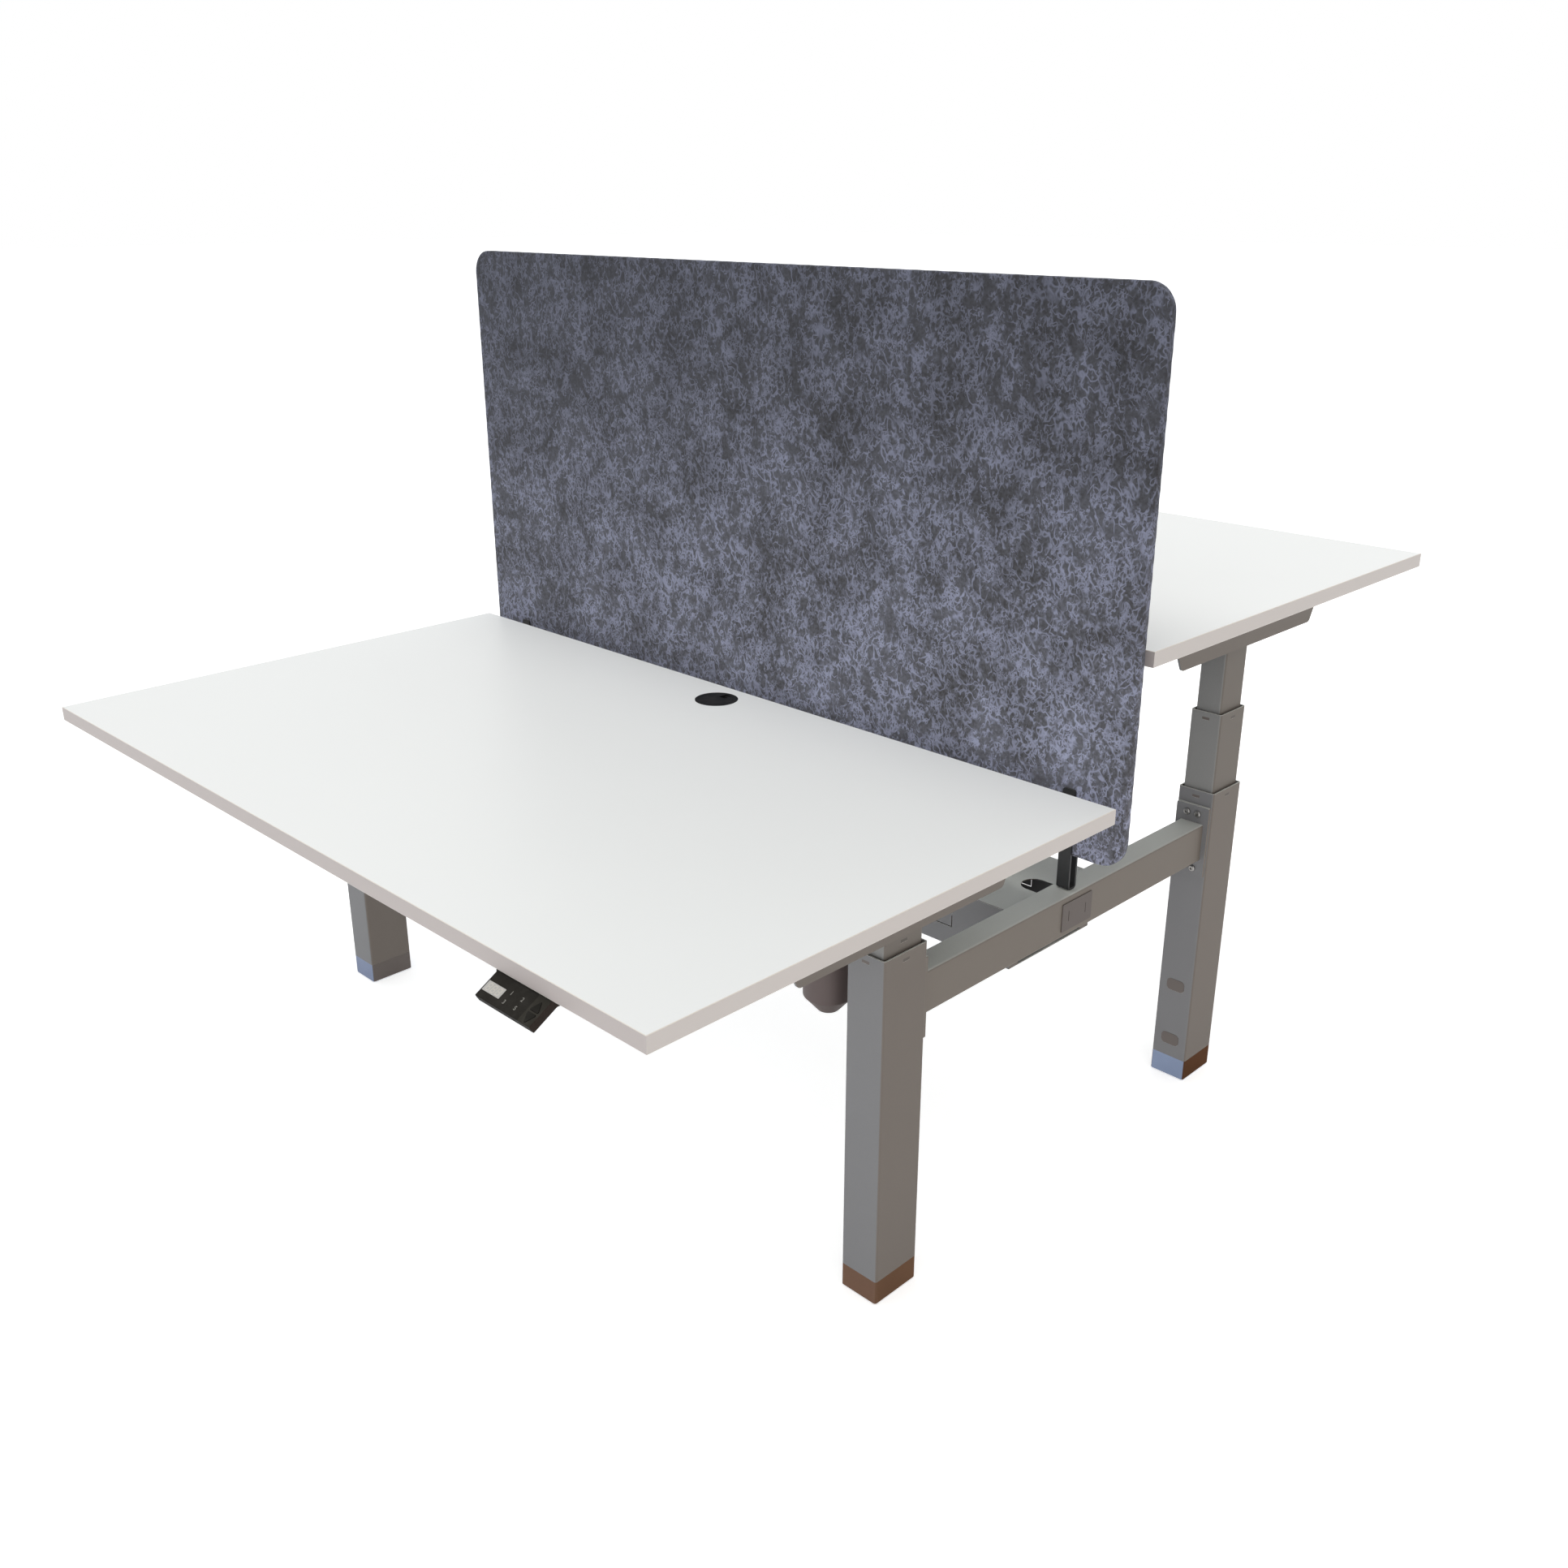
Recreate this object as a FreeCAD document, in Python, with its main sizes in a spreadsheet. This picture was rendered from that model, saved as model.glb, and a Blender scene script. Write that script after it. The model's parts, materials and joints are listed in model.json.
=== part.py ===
"""Back-to-back sit-stand bench: two lifting desktops on one frame, with a felt screen between them.

Millimetres, +Z up. The origin is on the floor under the middle of the bench. +X is to the right of a person
who sits at the front desk, and -Y is towards that person. Each different piece is drawn once, near the origin
or in the place that it has at the front desk, and is then copied to the places where the bench has it. The
rear desk is the front desk turned half round and raised.
"""
import FreeCAD, Part
import os
import re
import Sketcher

DIMENSIONS = {
    # Desktops
    "desk_width": 1400,
    "desk_depth": 800,
    "desk_thick": 22,
    "desk_edge": 1,
    "desk_gap": 60,
    "desk_height": 603,
    "rear_raise": 200,
    # Columns. The drops here and below are from the top of the front desktop at its lowest
    "column_inset": 87.4,
    "column_y": 376.8,
    "tube_width": 60,
    "tube_depth": 80,
    "tube_wall": 2.2,
    "tube_corner": 3.5,
    "tube_drop": 100.2,
    "stage_step": 4.75,
    "stage_wall": 2,
    "middle_drop": 76.4,
    "middle_base": 46,
    "base_thick": 12,
    "inner_base": 70,
    "glide_play": 0.3,
    "collar_height": 20,
    "collar_inset": 3,
    "clip_width": 12,
    "clip_height": 4,
    "clip_drop": 10,
    # End caps and levelling feet
    "cap_height": 34,
    "spigot_height": 7,
    "foot_drop": 2,
    "foot_plate": 1,
    "foot_inset": 3,
    "nub_radius": 5,
    "stud_radius": 5,
    "stud_length": 26,
    "stud_play": 0.3,
    # Rounded plugs in the side of a column that faces the middle of the bench
    "plug_width": 31,
    "plug_height": 20,
    "plug_corner": 7,
    "plug_low": 67.4,
    "plug_high": 165.4,
    "plug_proud": 0.4,
    "plug_play": 0.1,
    # Side beams and their bolts
    "beam_width": 40,
    "beam_height": 60,
    "beam_wall": 2,
    "beam_corner": 3,
    "beam_drop": 181,
    "plate_width": 55,
    "plate_height": 116,
    "plate_thick": 5,
    "plate_corner": 3,
    "bolt_spread": 9,
    "bolt_reach": 45,
    "bolt_radius": 3,
    "bolt_play": 0.25,
    "bolt_past": 1.2,
    "head_radius": 5.4,
    "head_height": 3.3,
    "head_round": 2.5,
    "socket_width": 4,
    "socket_depth": 1.8,
    "cover_length": 70,
    "cover_height": 42,
    "cover_thick": 1.5,
    "cover_corner": 2,
    "cover_slot_length": 15.5,
    "cover_slot_width": 1.2,
    "cover_slot_place": 20,
    # Screen and the flat-bar brackets that hold it
    "screen_overhang": 89.1,
    "screen_height": 750,
    "screen_thick": 12,
    "screen_corner": 37,
    "screen_drop": 98.5,
    "clamp_width": 20,
    "clamp_thick": 3,
    "clamp_grip": 97,
    "clamp_bend": 6,
    "clamp_tip": 4,
    "clamp_play": 0.1,
    # Cable tray between the beams
    "tray_depth": 190,
    "tray_height": 87,
    "tray_rise": 17,
    "tray_sheet": 1.5,
    "tray_flange": 20,
    "tray_bolt_drop": 22,
    "lip_height": 10,
    "lip_play": 0.2,
    "notch_width": 40,
    "notch_reach": 51,
    "knock_end": 101.6,
    "knock_length": 120,
    "knock_height": 40,
    "knock_low": 28.5,
    "knock_slit": 1.5,
    "knock_bridge": 3,
    # Brackets between columns and desktop
    "arm_width": 69,
    "arm_drop": 52,
    "arm_length": 425,
    "arm_base_length": 372,
    "arm_shift": 5,
    "arm_sheet": 3,
    "arm_corner": 9,
    "screw_radius": 2.2,
    "screw_head_radius": 4.5,
    "screw_head_height": 2.6,
    "screw_grip": 14,
    "screw_play": 0.1,
    "screw_spread": 20,
    "screw_reach": 150,
    # Rails between the brackets
    "rail_width": 40,
    "rail_height": 20,
    "rail_wall": 1.5,
    "rail_reach": 110,
    # Gear motor, far gear head, drive shaft between them, and spindles
    "motor_radius": 33,
    "motor_offset": 97,
    "motor_drop": 206,
    "motor_cone": 22,
    "motor_tip": 14,
    "motor_soft": 3,
    "gear_height": 38,
    "gear_past": 30,
    "gear_soft": 4,
    "gear_play": 2,
    "spindle_radius": 7,
    "spindle_base": 80,
    "spindle_seat": 25,
    "bearing_play": 0.08,
    "shaft_width": 10,
    "journal_radius": 4,
    "shaft_seat": 14,
    "shaft_play": 0.5,
    "nut_drop": 143,
    "nut_radius": 11,
    # Control box under the desktop
    "control_x": -180,
    "control_shift": 50,
    "control_length": 240,
    "control_width": 76,
    "control_height": 34,
    "control_soft": 3,
    "inlet_width": 27,
    "inlet_height": 20,
    "jack_width": 14,
    "jack_height": 11,
    "jack_pitch": 34,
    "jack_depth": 9,
    # Handset under the front edge of the desktop
    "handset_inset": 246,
    "handset_width": 96,
    "handset_drop": 2,
    "handset_back": 26,
    "handset_deep": 10,
    "handset_soft": 1.2,
    "handset_bend": 5,
    "face_run": 29.4,
    "face_fall": 17,
    "lip_thick": 10.4,
    "window_left": 2.3,
    "window_far": 12,
    "window_width": 30,
    "window_height": 12.8,
    "window_thick": 1.4,
    "window_play": 0.05,
    "key_middle": 85.6,
    "key_width": 14.6,
    "key_height": 13,
    "key_thick": 3,
    "key_proud": 0.5,
    "key_corner": 1.5,
    "key_travel": 0.8,
    "key_play": 0.3,
    "up_base": 17.3,
    "down_base": 20,
    # Cable grommet in the desktop
    "grommet_x": -5.3,
    "grommet_back": 54.4,
    "grommet_radius": 34.25,
    "grommet_flange": 2.4,
    "grommet_play": 0.15,
    "sleeve_radius": 30,
    "sleeve_length": 24,
    "lid_radius": 27,
    "lid_thick": 1.8,
    "lid_play": 0.3,
    "ledge_radius": 24,
    "lid_notch": 13,
    "lid_notch_reach": 15,
    # Added to every cut so that it passes clear through
    "overrun": 5,
}

# Places that follow from those sizes. They are worked out in the same sheet
FOLLOWING = {
    "column_x": "desk_width / 2 - column_inset",
    "tube_top": "desk_height - tube_drop",
    "middle_top": "desk_height - middle_drop",
    "beam_mid": "desk_height - beam_drop",
    "screen_width": "2 * (column_x + screen_overhang)",
    "screen_bottom": "desk_height - screen_drop",
    "clamp_top": "screen_bottom + clamp_grip",
    "tray_top": "beam_mid + tray_rise",
    "motor_rim": "desk_height - motor_drop",
    "nut_top": "desk_height - nut_drop",
    "handset_x": "desk_width / 2 - handset_inset",
}

UP = FreeCAD.Vector(0, 0, 1)
RIGHT = FreeCAD.Vector(1, 0, 0)
BACK = FreeCAD.Vector(0, 1, 0)
HALF_TURN = 180
QUARTER_TURN = 90
PARALLEL_SHARE = 0.999

doc = FreeCAD.newDocument("sit_stand_bench")
sheet = doc.addObject("Spreadsheet::Sheet", "dims")
cells = {alias: str(number) for alias, number in DIMENSIONS.items()}
cells.update({alias: "=" + formula for alias, formula in FOLLOWING.items()})
for row, (alias, content) in enumerate(cells.items(), start=1):
    sheet.set("A%d" % row, alias)
    sheet.set("B%d" % row, content)
    sheet.setAlias("B%d" % row, alias)
doc.recompute()


def in_sheet(text):
    """Put the sheet's name before each of its words in an expression."""
    return re.sub(r"[a-z_]+", lambda word: "dims." + word[0] if word[0] in cells else word[0], str(text))


def value(text):
    """The number that an expression comes to."""
    return float(sheet.evalExpression(in_sheet(text)))


def bind(item, name, text):
    """Tie a property to the sheet."""
    item.setExpression(name, in_sheet(text))


def move(item, x, y, z):
    """Tie an object's place to the sheet."""
    for axis, text in zip("xyz", (x, y, z)):
        bind(item, "Placement.Base." + axis, text)
    return item


def box(name, left, right, front, back, low, high):
    """A box given by its six sides."""
    item = doc.addObject("Part::Box", name)
    bind(item, "Length", "(%s) - (%s)" % (right, left))
    bind(item, "Width", "(%s) - (%s)" % (back, front))
    bind(item, "Height", "(%s) - (%s)" % (high, low))
    return move(item, left, front, low)


def cylinder(name, radius, low, high, x=0, y=0):
    """An upright cylinder given by its two ends."""
    item = doc.addObject("Part::Cylinder", name)
    bind(item, "Radius", radius)
    bind(item, "Height", "(%s) - (%s)" % (high, low))
    return move(item, x, y, low)


def fuse(name, pieces):
    """One solid made of several that touch."""
    item = doc.addObject("Part::MultiFuse", name)
    item.Shapes = pieces
    item.Refine = True
    return item


def cut(name, base, tools):
    """A solid with others taken out of it."""
    item = doc.addObject("Part::Cut", name)
    item.Base = base
    item.Tool = tools[0] if len(tools) == 1 else group(name + "_tools", tools)
    return item


def group(name, pieces):
    """Several solids kept together."""
    item = doc.addObject("Part::Compound", name)
    item.Links = pieces
    return item


def copy_at(source, name, x=0, y=0, z=0, turn=0, axis=UP):
    """A piece that was drawn once, turned and set in one of its places."""
    item = group(name, [source])
    item.Placement = FreeCAD.Placement(FreeCAD.Vector(), FreeCAD.Rotation(axis, turn))
    return move(item, x, y, z)


def new_body(name):
    """An empty body."""
    return doc.addObject("PartDesign::Body", name)


def sketch_on(body, role, lift=0):
    """A sketch on one of a body's own planes, or at a height above it."""
    sketch = body.newObject("Sketcher::SketchObject", body.Name + "_sketch")
    plane = [item for item in body.Origin.OriginFeatures if item.Role == role][0]
    sketch.AttachmentSupport = (plane, [""])
    sketch.MapMode = "FlatFace"
    bind(sketch, "AttachmentOffset.Base.z", lift)
    return sketch


def tie_point(sketch, curve, point, x, y):
    """Hold a point of a sketch at two expressions."""
    for kind, text in (("DistanceX", x), ("DistanceY", y)):
        index = sketch.addConstraint(Sketcher.Constraint(kind, curve, point, value(text)))
        bind(sketch, "Constraints[%d]" % index, text)


def polygon(sketch, points):
    """A closed outline through corners given as pairs of expressions."""
    corners = [FreeCAD.Vector(value(x), value(y), 0) for x, y in points]
    first = sketch.GeometryCount
    count = len(corners)
    for i in range(count):
        sketch.addGeometry(Part.LineSegment(corners[i], corners[(i + 1) % count]))
    for i in range(count):
        sketch.addConstraint(Sketcher.Constraint("Coincident", first + i, 2, first + (i + 1) % count, 1))
    for i, (x, y) in enumerate(points):
        tie_point(sketch, first + i, 1, x, y)
    return sketch


def rectangle(sketch, left, right, low, high):
    """A rectangle given by its four sides."""
    return polygon(sketch, [(left, low), (right, low), (right, high), (left, high)])


def centred(sketch, width, height, y=0):
    """A rectangle given by its size, its middle on the sketch's upright axis."""
    half, rise = "(%s) / 2" % width, "(%s) / 2" % height
    return rectangle(sketch, "-" + half, half, "%s - %s" % (y, rise), "%s + %s" % (y, rise))


def hexagon(sketch, width, y=0):
    """A hexagon given by its width across the flats, its middle on the sketch's upright axis."""
    side, rise, reach = "%s / 2" % width, "%s / 2 * tan(30)" % width, "%s / 2 / cos(30)" % width
    return polygon(sketch, [(side, "%s - %s" % (y, rise)), (side, "%s + %s" % (y, rise)),
                            (0, "%s + %s" % (y, reach)), ("-" + side, "%s + %s" % (y, rise)),
                            ("-" + side, "%s - %s" % (y, rise)), (0, "%s - %s" % (y, reach))])


def circle(sketch, x, y, radius):
    """A circle held at its middle."""
    middle = FreeCAD.Vector(value(x), value(y), 0)
    curve = sketch.addGeometry(Part.Circle(middle, UP, value(radius)))
    tie_point(sketch, curve, 3, x, y)
    index = sketch.addConstraint(Sketcher.Constraint("Radius", curve, value(radius)))
    bind(sketch, "Constraints[%d]" % index, radius)
    return sketch


def pad(body, sketch, length, symmetric=False):
    """Raise a sketch into a solid."""
    feature = body.newObject("PartDesign::Pad", body.Name + "_pad")
    feature.Profile = sketch
    feature.SideType = "Symmetric" if symmetric else "One side"
    bind(feature, "Length", length)
    doc.recompute()
    return feature


def pocket(body, sketch, length=None, symmetric=False, reverse=False):
    """Cut a sketch out of a body, right through where no depth is given."""
    before = body.Shape.Volume
    feature = body.newObject("PartDesign::Pocket", body.Name + "_pocket")
    feature.Profile = sketch
    feature.SideType = "Symmetric" if symmetric else "One side"
    feature.Reversed = reverse
    if length is None:
        feature.Type = "ThroughAll"
    else:
        bind(feature, "Length", length)
    doc.recompute()
    if not body.Shape.Volume < before:
        raise ValueError("A pocket in %s cuts nothing" % body.Name)
    return feature


def round_edges(body, radius, chosen):
    """Round the edges of a body that a test picks."""
    base = body.Tip
    names = ["Edge%d" % (i + 1) for i, edge in enumerate(base.Shape.Edges) if chosen(edge)]
    feature = body.newObject("PartDesign::Fillet", body.Name + "_fillet")
    feature.Base = (base, names)
    bind(feature, "Radius", radius)
    doc.recompute()
    return feature


def runs_along(edge, axis):
    """Whether an edge is straight and lies along an axis."""
    if edge.Curve.TypeId != "Part::GeomLine":
        return False
    return abs(edge.tangentAt(edge.FirstParameter).dot(axis)) > PARALLEL_SHARE


def upright(edge):
    """Whether an edge stands upright."""
    return runs_along(edge, UP)


def rounded_block(name, width, depth, corner, low, high):
    """A body with a rectangular plan and rounded upright edges."""
    body = new_body(name)
    pad(body, centred(sketch_on(body, "XY_Plane", low), width, depth), "(%s) - (%s)" % (high, low))
    round_edges(body, corner, upright)
    return body


def square_tube(name, width, depth, wall, corner, low, high):
    """A rounded block with a sharp-cornered bore that leaves an even wall."""
    body = rounded_block(name, width, depth, corner, low, high)
    inner_width, inner_depth = "(%s) - 2 * (%s)" % (width, wall), "(%s) - 2 * (%s)" % (depth, wall)
    pocket(body, centred(sketch_on(body, "XY_Plane", low), inner_width, inner_depth), reverse=True)
    return body


def rounded_tube(name, width, depth, wall, corner, low, high):
    """A tube of even wall, rounded inside and out."""
    body = square_tube(name, width, depth, wall, corner, low, high)
    x_limit, y_limit = ((value(size) - value(wall)) / 2 for size in (width, depth))
    round_edges(body, "(%s) - %s" % (corner, wall),
                lambda edge: upright(edge) and abs(edge.CenterOfMass.x) < x_limit
                and abs(edge.CenterOfMass.y) < y_limit)
    return body


def clip_slots(body, top):
    """A small slot through each of the four walls of a tube, near its top."""
    for role in ("XZ_Plane", "YZ_Plane"):
        sketch = sketch_on(body, role)
        centred(sketch, "clip_width", "clip_height", "%s - clip_drop" % top)
        pocket(body, sketch, symmetric=True)


def shrunk(size, steps):
    """A stage's size, given how many steps it is inside the outer tube."""
    return "%s - %d * stage_step" % (size, 2 * steps)


CAP_TOP = "foot_drop + cap_height"
DESK_UNDER = "desk_height - desk_thick"
DESK_FRONT = "-(desk_gap / 2 + desk_depth)"
ARM_Y = "-(column_y + arm_shift)"
GEAR_TOP = DESK_UNDER + " - arm_sheet"
GEAR_LOW = GEAR_TOP + " - gear_height"
BEAM_HALF = "column_y - tube_depth / 2"
BEAM_TOP = "beam_mid + beam_height / 2"
TRAY_HALF = "column_x - beam_width / 2"
TRAY_LOW = "tray_top - tray_height"


# Columns

def outer_tube():
    """The lowest stage of a column, with slots, plug holes and bolt holes."""
    body = rounded_tube("outer_tube", "tube_width", "tube_depth", "tube_wall", "tube_corner",
                        CAP_TOP, "tube_top")
    clip_slots(body, "tube_top")
    plugs = sketch_on(body, "XZ_Plane")
    for height in ("plug_low", "plug_high"):
        centred(plugs, "plug_width + 2 * plug_play", "plug_height + 2 * plug_play", height)
    pocket(body, plugs)
    inner = value("tube_depth") / 2 - value("tube_wall")
    plug_limit = value("plug_high + plug_height")
    round_edges(body, "plug_corner + plug_play",
                lambda edge: runs_along(edge, BACK) and edge.CenterOfMass.y > inner
                and edge.CenterOfMass.z < plug_limit)
    holes = sketch_on(body, "XZ_Plane")
    for side in ("-", ""):
        for rise in ("-", "+"):
            circle(holes, side + "bolt_spread", "beam_mid %s bolt_reach" % rise, "bolt_radius + bolt_play")
    pocket(body, holes)
    return body


def glide_collar(name, steps, wall, corner, top):
    """The plastic collar inside a tube's mouth, with a clip through each of the tube's slots."""
    width, depth = shrunk("tube_width", steps), shrunk("tube_depth", steps)
    inside = "2 * %s" % wall
    thick = "stage_step - %s - glide_play" % wall
    high = "%s - collar_inset" % top
    low = high + " - collar_height"
    ring = square_tube(name + "_ring", "%s - %s" % (width, inside), "%s - %s" % (depth, inside),
                       thick, corner, low, high)
    clip_low, clip_high = "%s - clip_drop - clip_height / 2" % top, "%s - clip_drop + clip_height / 2" % top
    across = box(name + "_across", "-(%s) / 2" % width, "(%s) / 2" % width,
                 "-clip_width / 2", "clip_width / 2", clip_low, clip_high)
    along = box(name + "_along", "-clip_width / 2", "clip_width / 2",
                "-(%s) / 2" % depth, "(%s) / 2" % depth, clip_low, clip_high)
    half_width = "((%s) / 2 - stage_step + glide_play)" % width
    half_depth = "((%s) / 2 - stage_step + glide_play)" % depth
    core = box(name + "_core", "-" + half_width, half_width, "-" + half_depth, half_depth, low, high)
    clips = cut(name + "_clips", fuse(name + "_bars", [across, along]), [core])
    return fuse(name, [ring, clips])


def middle_tube():
    """The middle stage: tube, closed base, and the tube that carries the spindle's nut."""
    width, depth = shrunk("tube_width", 1), shrunk("tube_depth", 1)
    tube = rounded_tube("middle_shell", width, depth, "stage_wall", "tube_corner", "middle_base", "middle_top")
    clip_slots(tube, "middle_top")
    half_width, half_depth = "(%s) / 2 - stage_wall" % width, "(%s) / 2 - stage_wall" % depth
    base = box("middle_plug", "-(%s)" % half_width, half_width, "-(%s)" % half_depth, half_depth,
               "middle_base", "middle_base + base_thick")
    post = cylinder("nut_tube", "nut_radius", "middle_base", "nut_top")
    bore = cylinder("nut_bore", "spindle_radius + glide_play", "middle_base + base_thick", "nut_top + overrun")
    return cut("middle_tube", fuse("middle_solid", [tube, base, post]), [bore])


def inner_tube():
    """The innermost stage, which carries the desk."""
    return rounded_tube("inner_tube", shrunk("tube_width", 2), shrunk("tube_depth", 2), "stage_wall",
                        "tube_corner", "inner_base", GEAR_LOW)


def foot_cap():
    """The cap that closes the foot of a column, with a thread for the levelling foot."""
    block = rounded_block("cap_block", "tube_width", "tube_depth", "tube_corner", "foot_drop", CAP_TOP)
    spigot = rounded_block("cap_spigot", "tube_width - 2 * tube_wall", "tube_depth - 2 * tube_wall",
                           "tube_corner - tube_wall", CAP_TOP, CAP_TOP + " + spigot_height")
    hole = cylinder("cap_hole", "stud_radius + stud_play", "foot_drop - overrun",
                    "foot_plate + stud_length + 2 * stud_play")
    return cut("foot_cap", fuse("cap_solid", [block, spigot]), [hole])


def levelling_foot():
    """The screw-in foot: a plate under the cap, four nubs on the floor, and a stud."""
    width, depth = "tube_width - 2 * foot_inset", "tube_depth - 2 * foot_inset"
    plate = rounded_block("foot_plate_block", width, depth, "tube_corner", "foot_drop - foot_plate", "foot_drop")
    nubs = []
    for side in ("-", ""):
        for end in ("-", ""):
            x = "%s((%s) / 2 - nub_radius)" % (side, width)
            y = "%s((%s) / 2 - nub_radius)" % (end, depth)
            nubs.append(cylinder("foot_nub", "nub_radius", 0, "foot_drop", x, y))
    stud = cylinder("foot_stud", "stud_radius", "foot_drop - foot_plate", "foot_plate + stud_length")
    return fuse("levelling_foot", [plate, stud] + nubs)


def column_plug():
    """A rounded plug, drawn at the floor, that fills one hole in a column's wall."""
    body = new_body("column_plug")
    inner = "tube_depth / 2 - tube_wall"
    sketch = centred(sketch_on(body, "XZ_Plane", "-(%s)" % inner), "plug_width", "plug_height")
    feature = pad(body, sketch, "tube_wall + plug_proud")
    feature.Reversed = True
    doc.recompute()
    round_edges(body, "plug_corner", lambda edge: runs_along(edge, BACK))
    return body


def spindle():
    """The lifting screw that hangs from the gear motor into the nut."""
    return cylinder("spindle", "spindle_radius", "spindle_base", GEAR_LOW + " + spindle_seat")


# Beams, bolts and screen

def button_bolt(name, past):
    """A button-head bolt, its seat at the origin and its shank downwards."""
    body = new_body(name)
    pad(body, circle(sketch_on(body, "XY_Plane"), 0, 0, "head_radius"), "head_height")
    seat = value("head_height") / 2
    round_edges(body, "head_round", lambda edge: edge.CenterOfMass.z > seat)
    pad(body, circle(sketch_on(body, "XY_Plane", "-(%s)" % past), 0, 0, "bolt_radius"), past)
    pocket(body, hexagon(sketch_on(body, "XY_Plane", "head_height"), "socket_width"), "socket_depth")
    return body


def side_beam():
    """A beam with an end plate welded to each end, drawn on the middle plane of the bench."""
    body = new_body("beam_tube")
    length = "2 * (%s - plate_thick)" % BEAM_HALF
    pad(body, centred(sketch_on(body, "XZ_Plane"), "beam_width", "beam_height", "beam_mid"), length, True)
    round_edges(body, "beam_corner", lambda edge: runs_along(edge, BACK))
    bore = centred(sketch_on(body, "XZ_Plane"), "beam_width - 2 * beam_wall", "beam_height - 2 * beam_wall",
                   "beam_mid")
    pocket(body, bore, symmetric=True)
    plates = new_body("beam_plates")
    pad(plates, centred(sketch_on(plates, "XZ_Plane"), "plate_width", "plate_height", "beam_mid"),
        "2 * (%s)" % BEAM_HALF, True)
    round_edges(plates, "plate_corner", lambda edge: runs_along(edge, BACK))
    between = centred(sketch_on(plates, "XZ_Plane"), "plate_width + overrun", "plate_height + overrun", "beam_mid")
    pocket(plates, between, length, True)
    holes = new_body("beam_holes")
    sketch = sketch_on(holes, "XZ_Plane")
    for side in ("-", ""):
        for rise in ("-", "+"):
            circle(sketch, side + "bolt_spread", "beam_mid %s bolt_reach" % rise, "bolt_radius + bolt_play")
    pad(holes, sketch, "2 * column_y", True)
    drilled = cut("plates_drilled", plates, [holes])
    tray_holes = []
    for end in ("-", ""):
        y = "%s(tray_depth / 2 - tray_flange / 2)" % end
        hole = cylinder("tray_hole", "bolt_radius + bolt_play", "-beam_width", "beam_width")
        tray_holes.append(copy_at(hole, "tray_hole_side", 0, y, "tray_top - tray_bolt_drop", QUARTER_TURN, BACK))
    inner_half = box("inner_half", "-beam_width", 0, "-tray_depth", "tray_depth", 0, "tube_top")
    inner_holes = doc.addObject("Part::MultiCommon", "inner_holes")
    inner_holes.Shapes = [group("tray_holes", tray_holes), inner_half]
    return cut("side_beam", fuse("beam_weldment", [body, drilled]), [inner_holes])


def beam_cover():
    """The plain cover plate on a beam's outer side, drawn with its back on the YZ plane."""
    body = new_body("beam_cover")
    pad(body, centred(sketch_on(body, "YZ_Plane"), "cover_length", "cover_height", "beam_mid"), "cover_thick")
    round_edges(body, "cover_corner", lambda edge: runs_along(edge, RIGHT))
    slots = sketch_on(body, "YZ_Plane")
    for side in ("-", ""):
        middle = side + "cover_slot_place"
        rectangle(slots, middle + " - cover_slot_width / 2", middle + " + cover_slot_width / 2",
                  "beam_mid - cover_slot_length / 2", "beam_mid + cover_slot_length / 2")
    pocket(body, slots, reverse=True)
    return body


def screen_bracket():
    """A U of flat bar that stands on the beam and grips the screen between its legs."""
    body = new_body("screen_bracket")
    gap = "(screen_thick / 2 + clamp_play)"
    half = "(%s + clamp_thick)" % gap
    pad(body, rectangle(sketch_on(body, "YZ_Plane"), "-" + half, half, BEAM_TOP, "clamp_top"), "clamp_width", True)
    slot = rectangle(sketch_on(body, "YZ_Plane"), "-" + gap, gap, BEAM_TOP + " + clamp_thick",
                     "clamp_top + overrun")
    pocket(body, slot, symmetric=True)
    low, high = value(BEAM_TOP), value("clamp_top")
    middle = (low + high) / 2
    round_edges(body, "clamp_tip",
                lambda edge: runs_along(edge, BACK) and edge.CenterOfMass.z > middle)
    round_edges(body, "clamp_bend",
                lambda edge: runs_along(edge, RIGHT) and edge.CenterOfMass.z < low + value("clamp_thick") / 2)
    return body


def screen_panel():
    """The felt screen."""
    body = new_body("screen_panel")
    sketch = rectangle(sketch_on(body, "XZ_Plane"), "-screen_width / 2", "screen_width / 2",
                       "screen_bottom", "screen_bottom + screen_height")
    pad(body, sketch, "screen_thick", True)
    round_edges(body, "screen_corner", lambda edge: runs_along(edge, BACK))
    return body


# Cable tray

def knock_out_slits(name, end):
    """The cuts that outline a knock-out near one end of the tray, through both of its walls."""
    outer = "(%s - knock_end)" % TRAY_HALF
    inner = "(%s - knock_end - knock_length)" % TRAY_HALF
    low = "(%s + knock_low)" % TRAY_LOW
    high = "(%s + knock_height)" % low
    middle = "(%s + knock_height / 2)" % low
    spans = [(inner, outer, low, low + " + knock_slit"), (inner, outer, high + " - knock_slit", high)]
    for left, right in ((outer + " - knock_slit", outer), (inner, inner + " + knock_slit")):
        spans.append((left, right, low, middle + " - knock_bridge / 2"))
        spans.append((left, right, middle + " + knock_bridge / 2", high))
    slits = []
    for left, right, base, top in spans:
        slits.append(box(name + "_slit", left, right, "-tray_depth", "tray_depth", base, top))
    return copy_at(fuse(name + "_outline", slits), name, turn=end)


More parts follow.
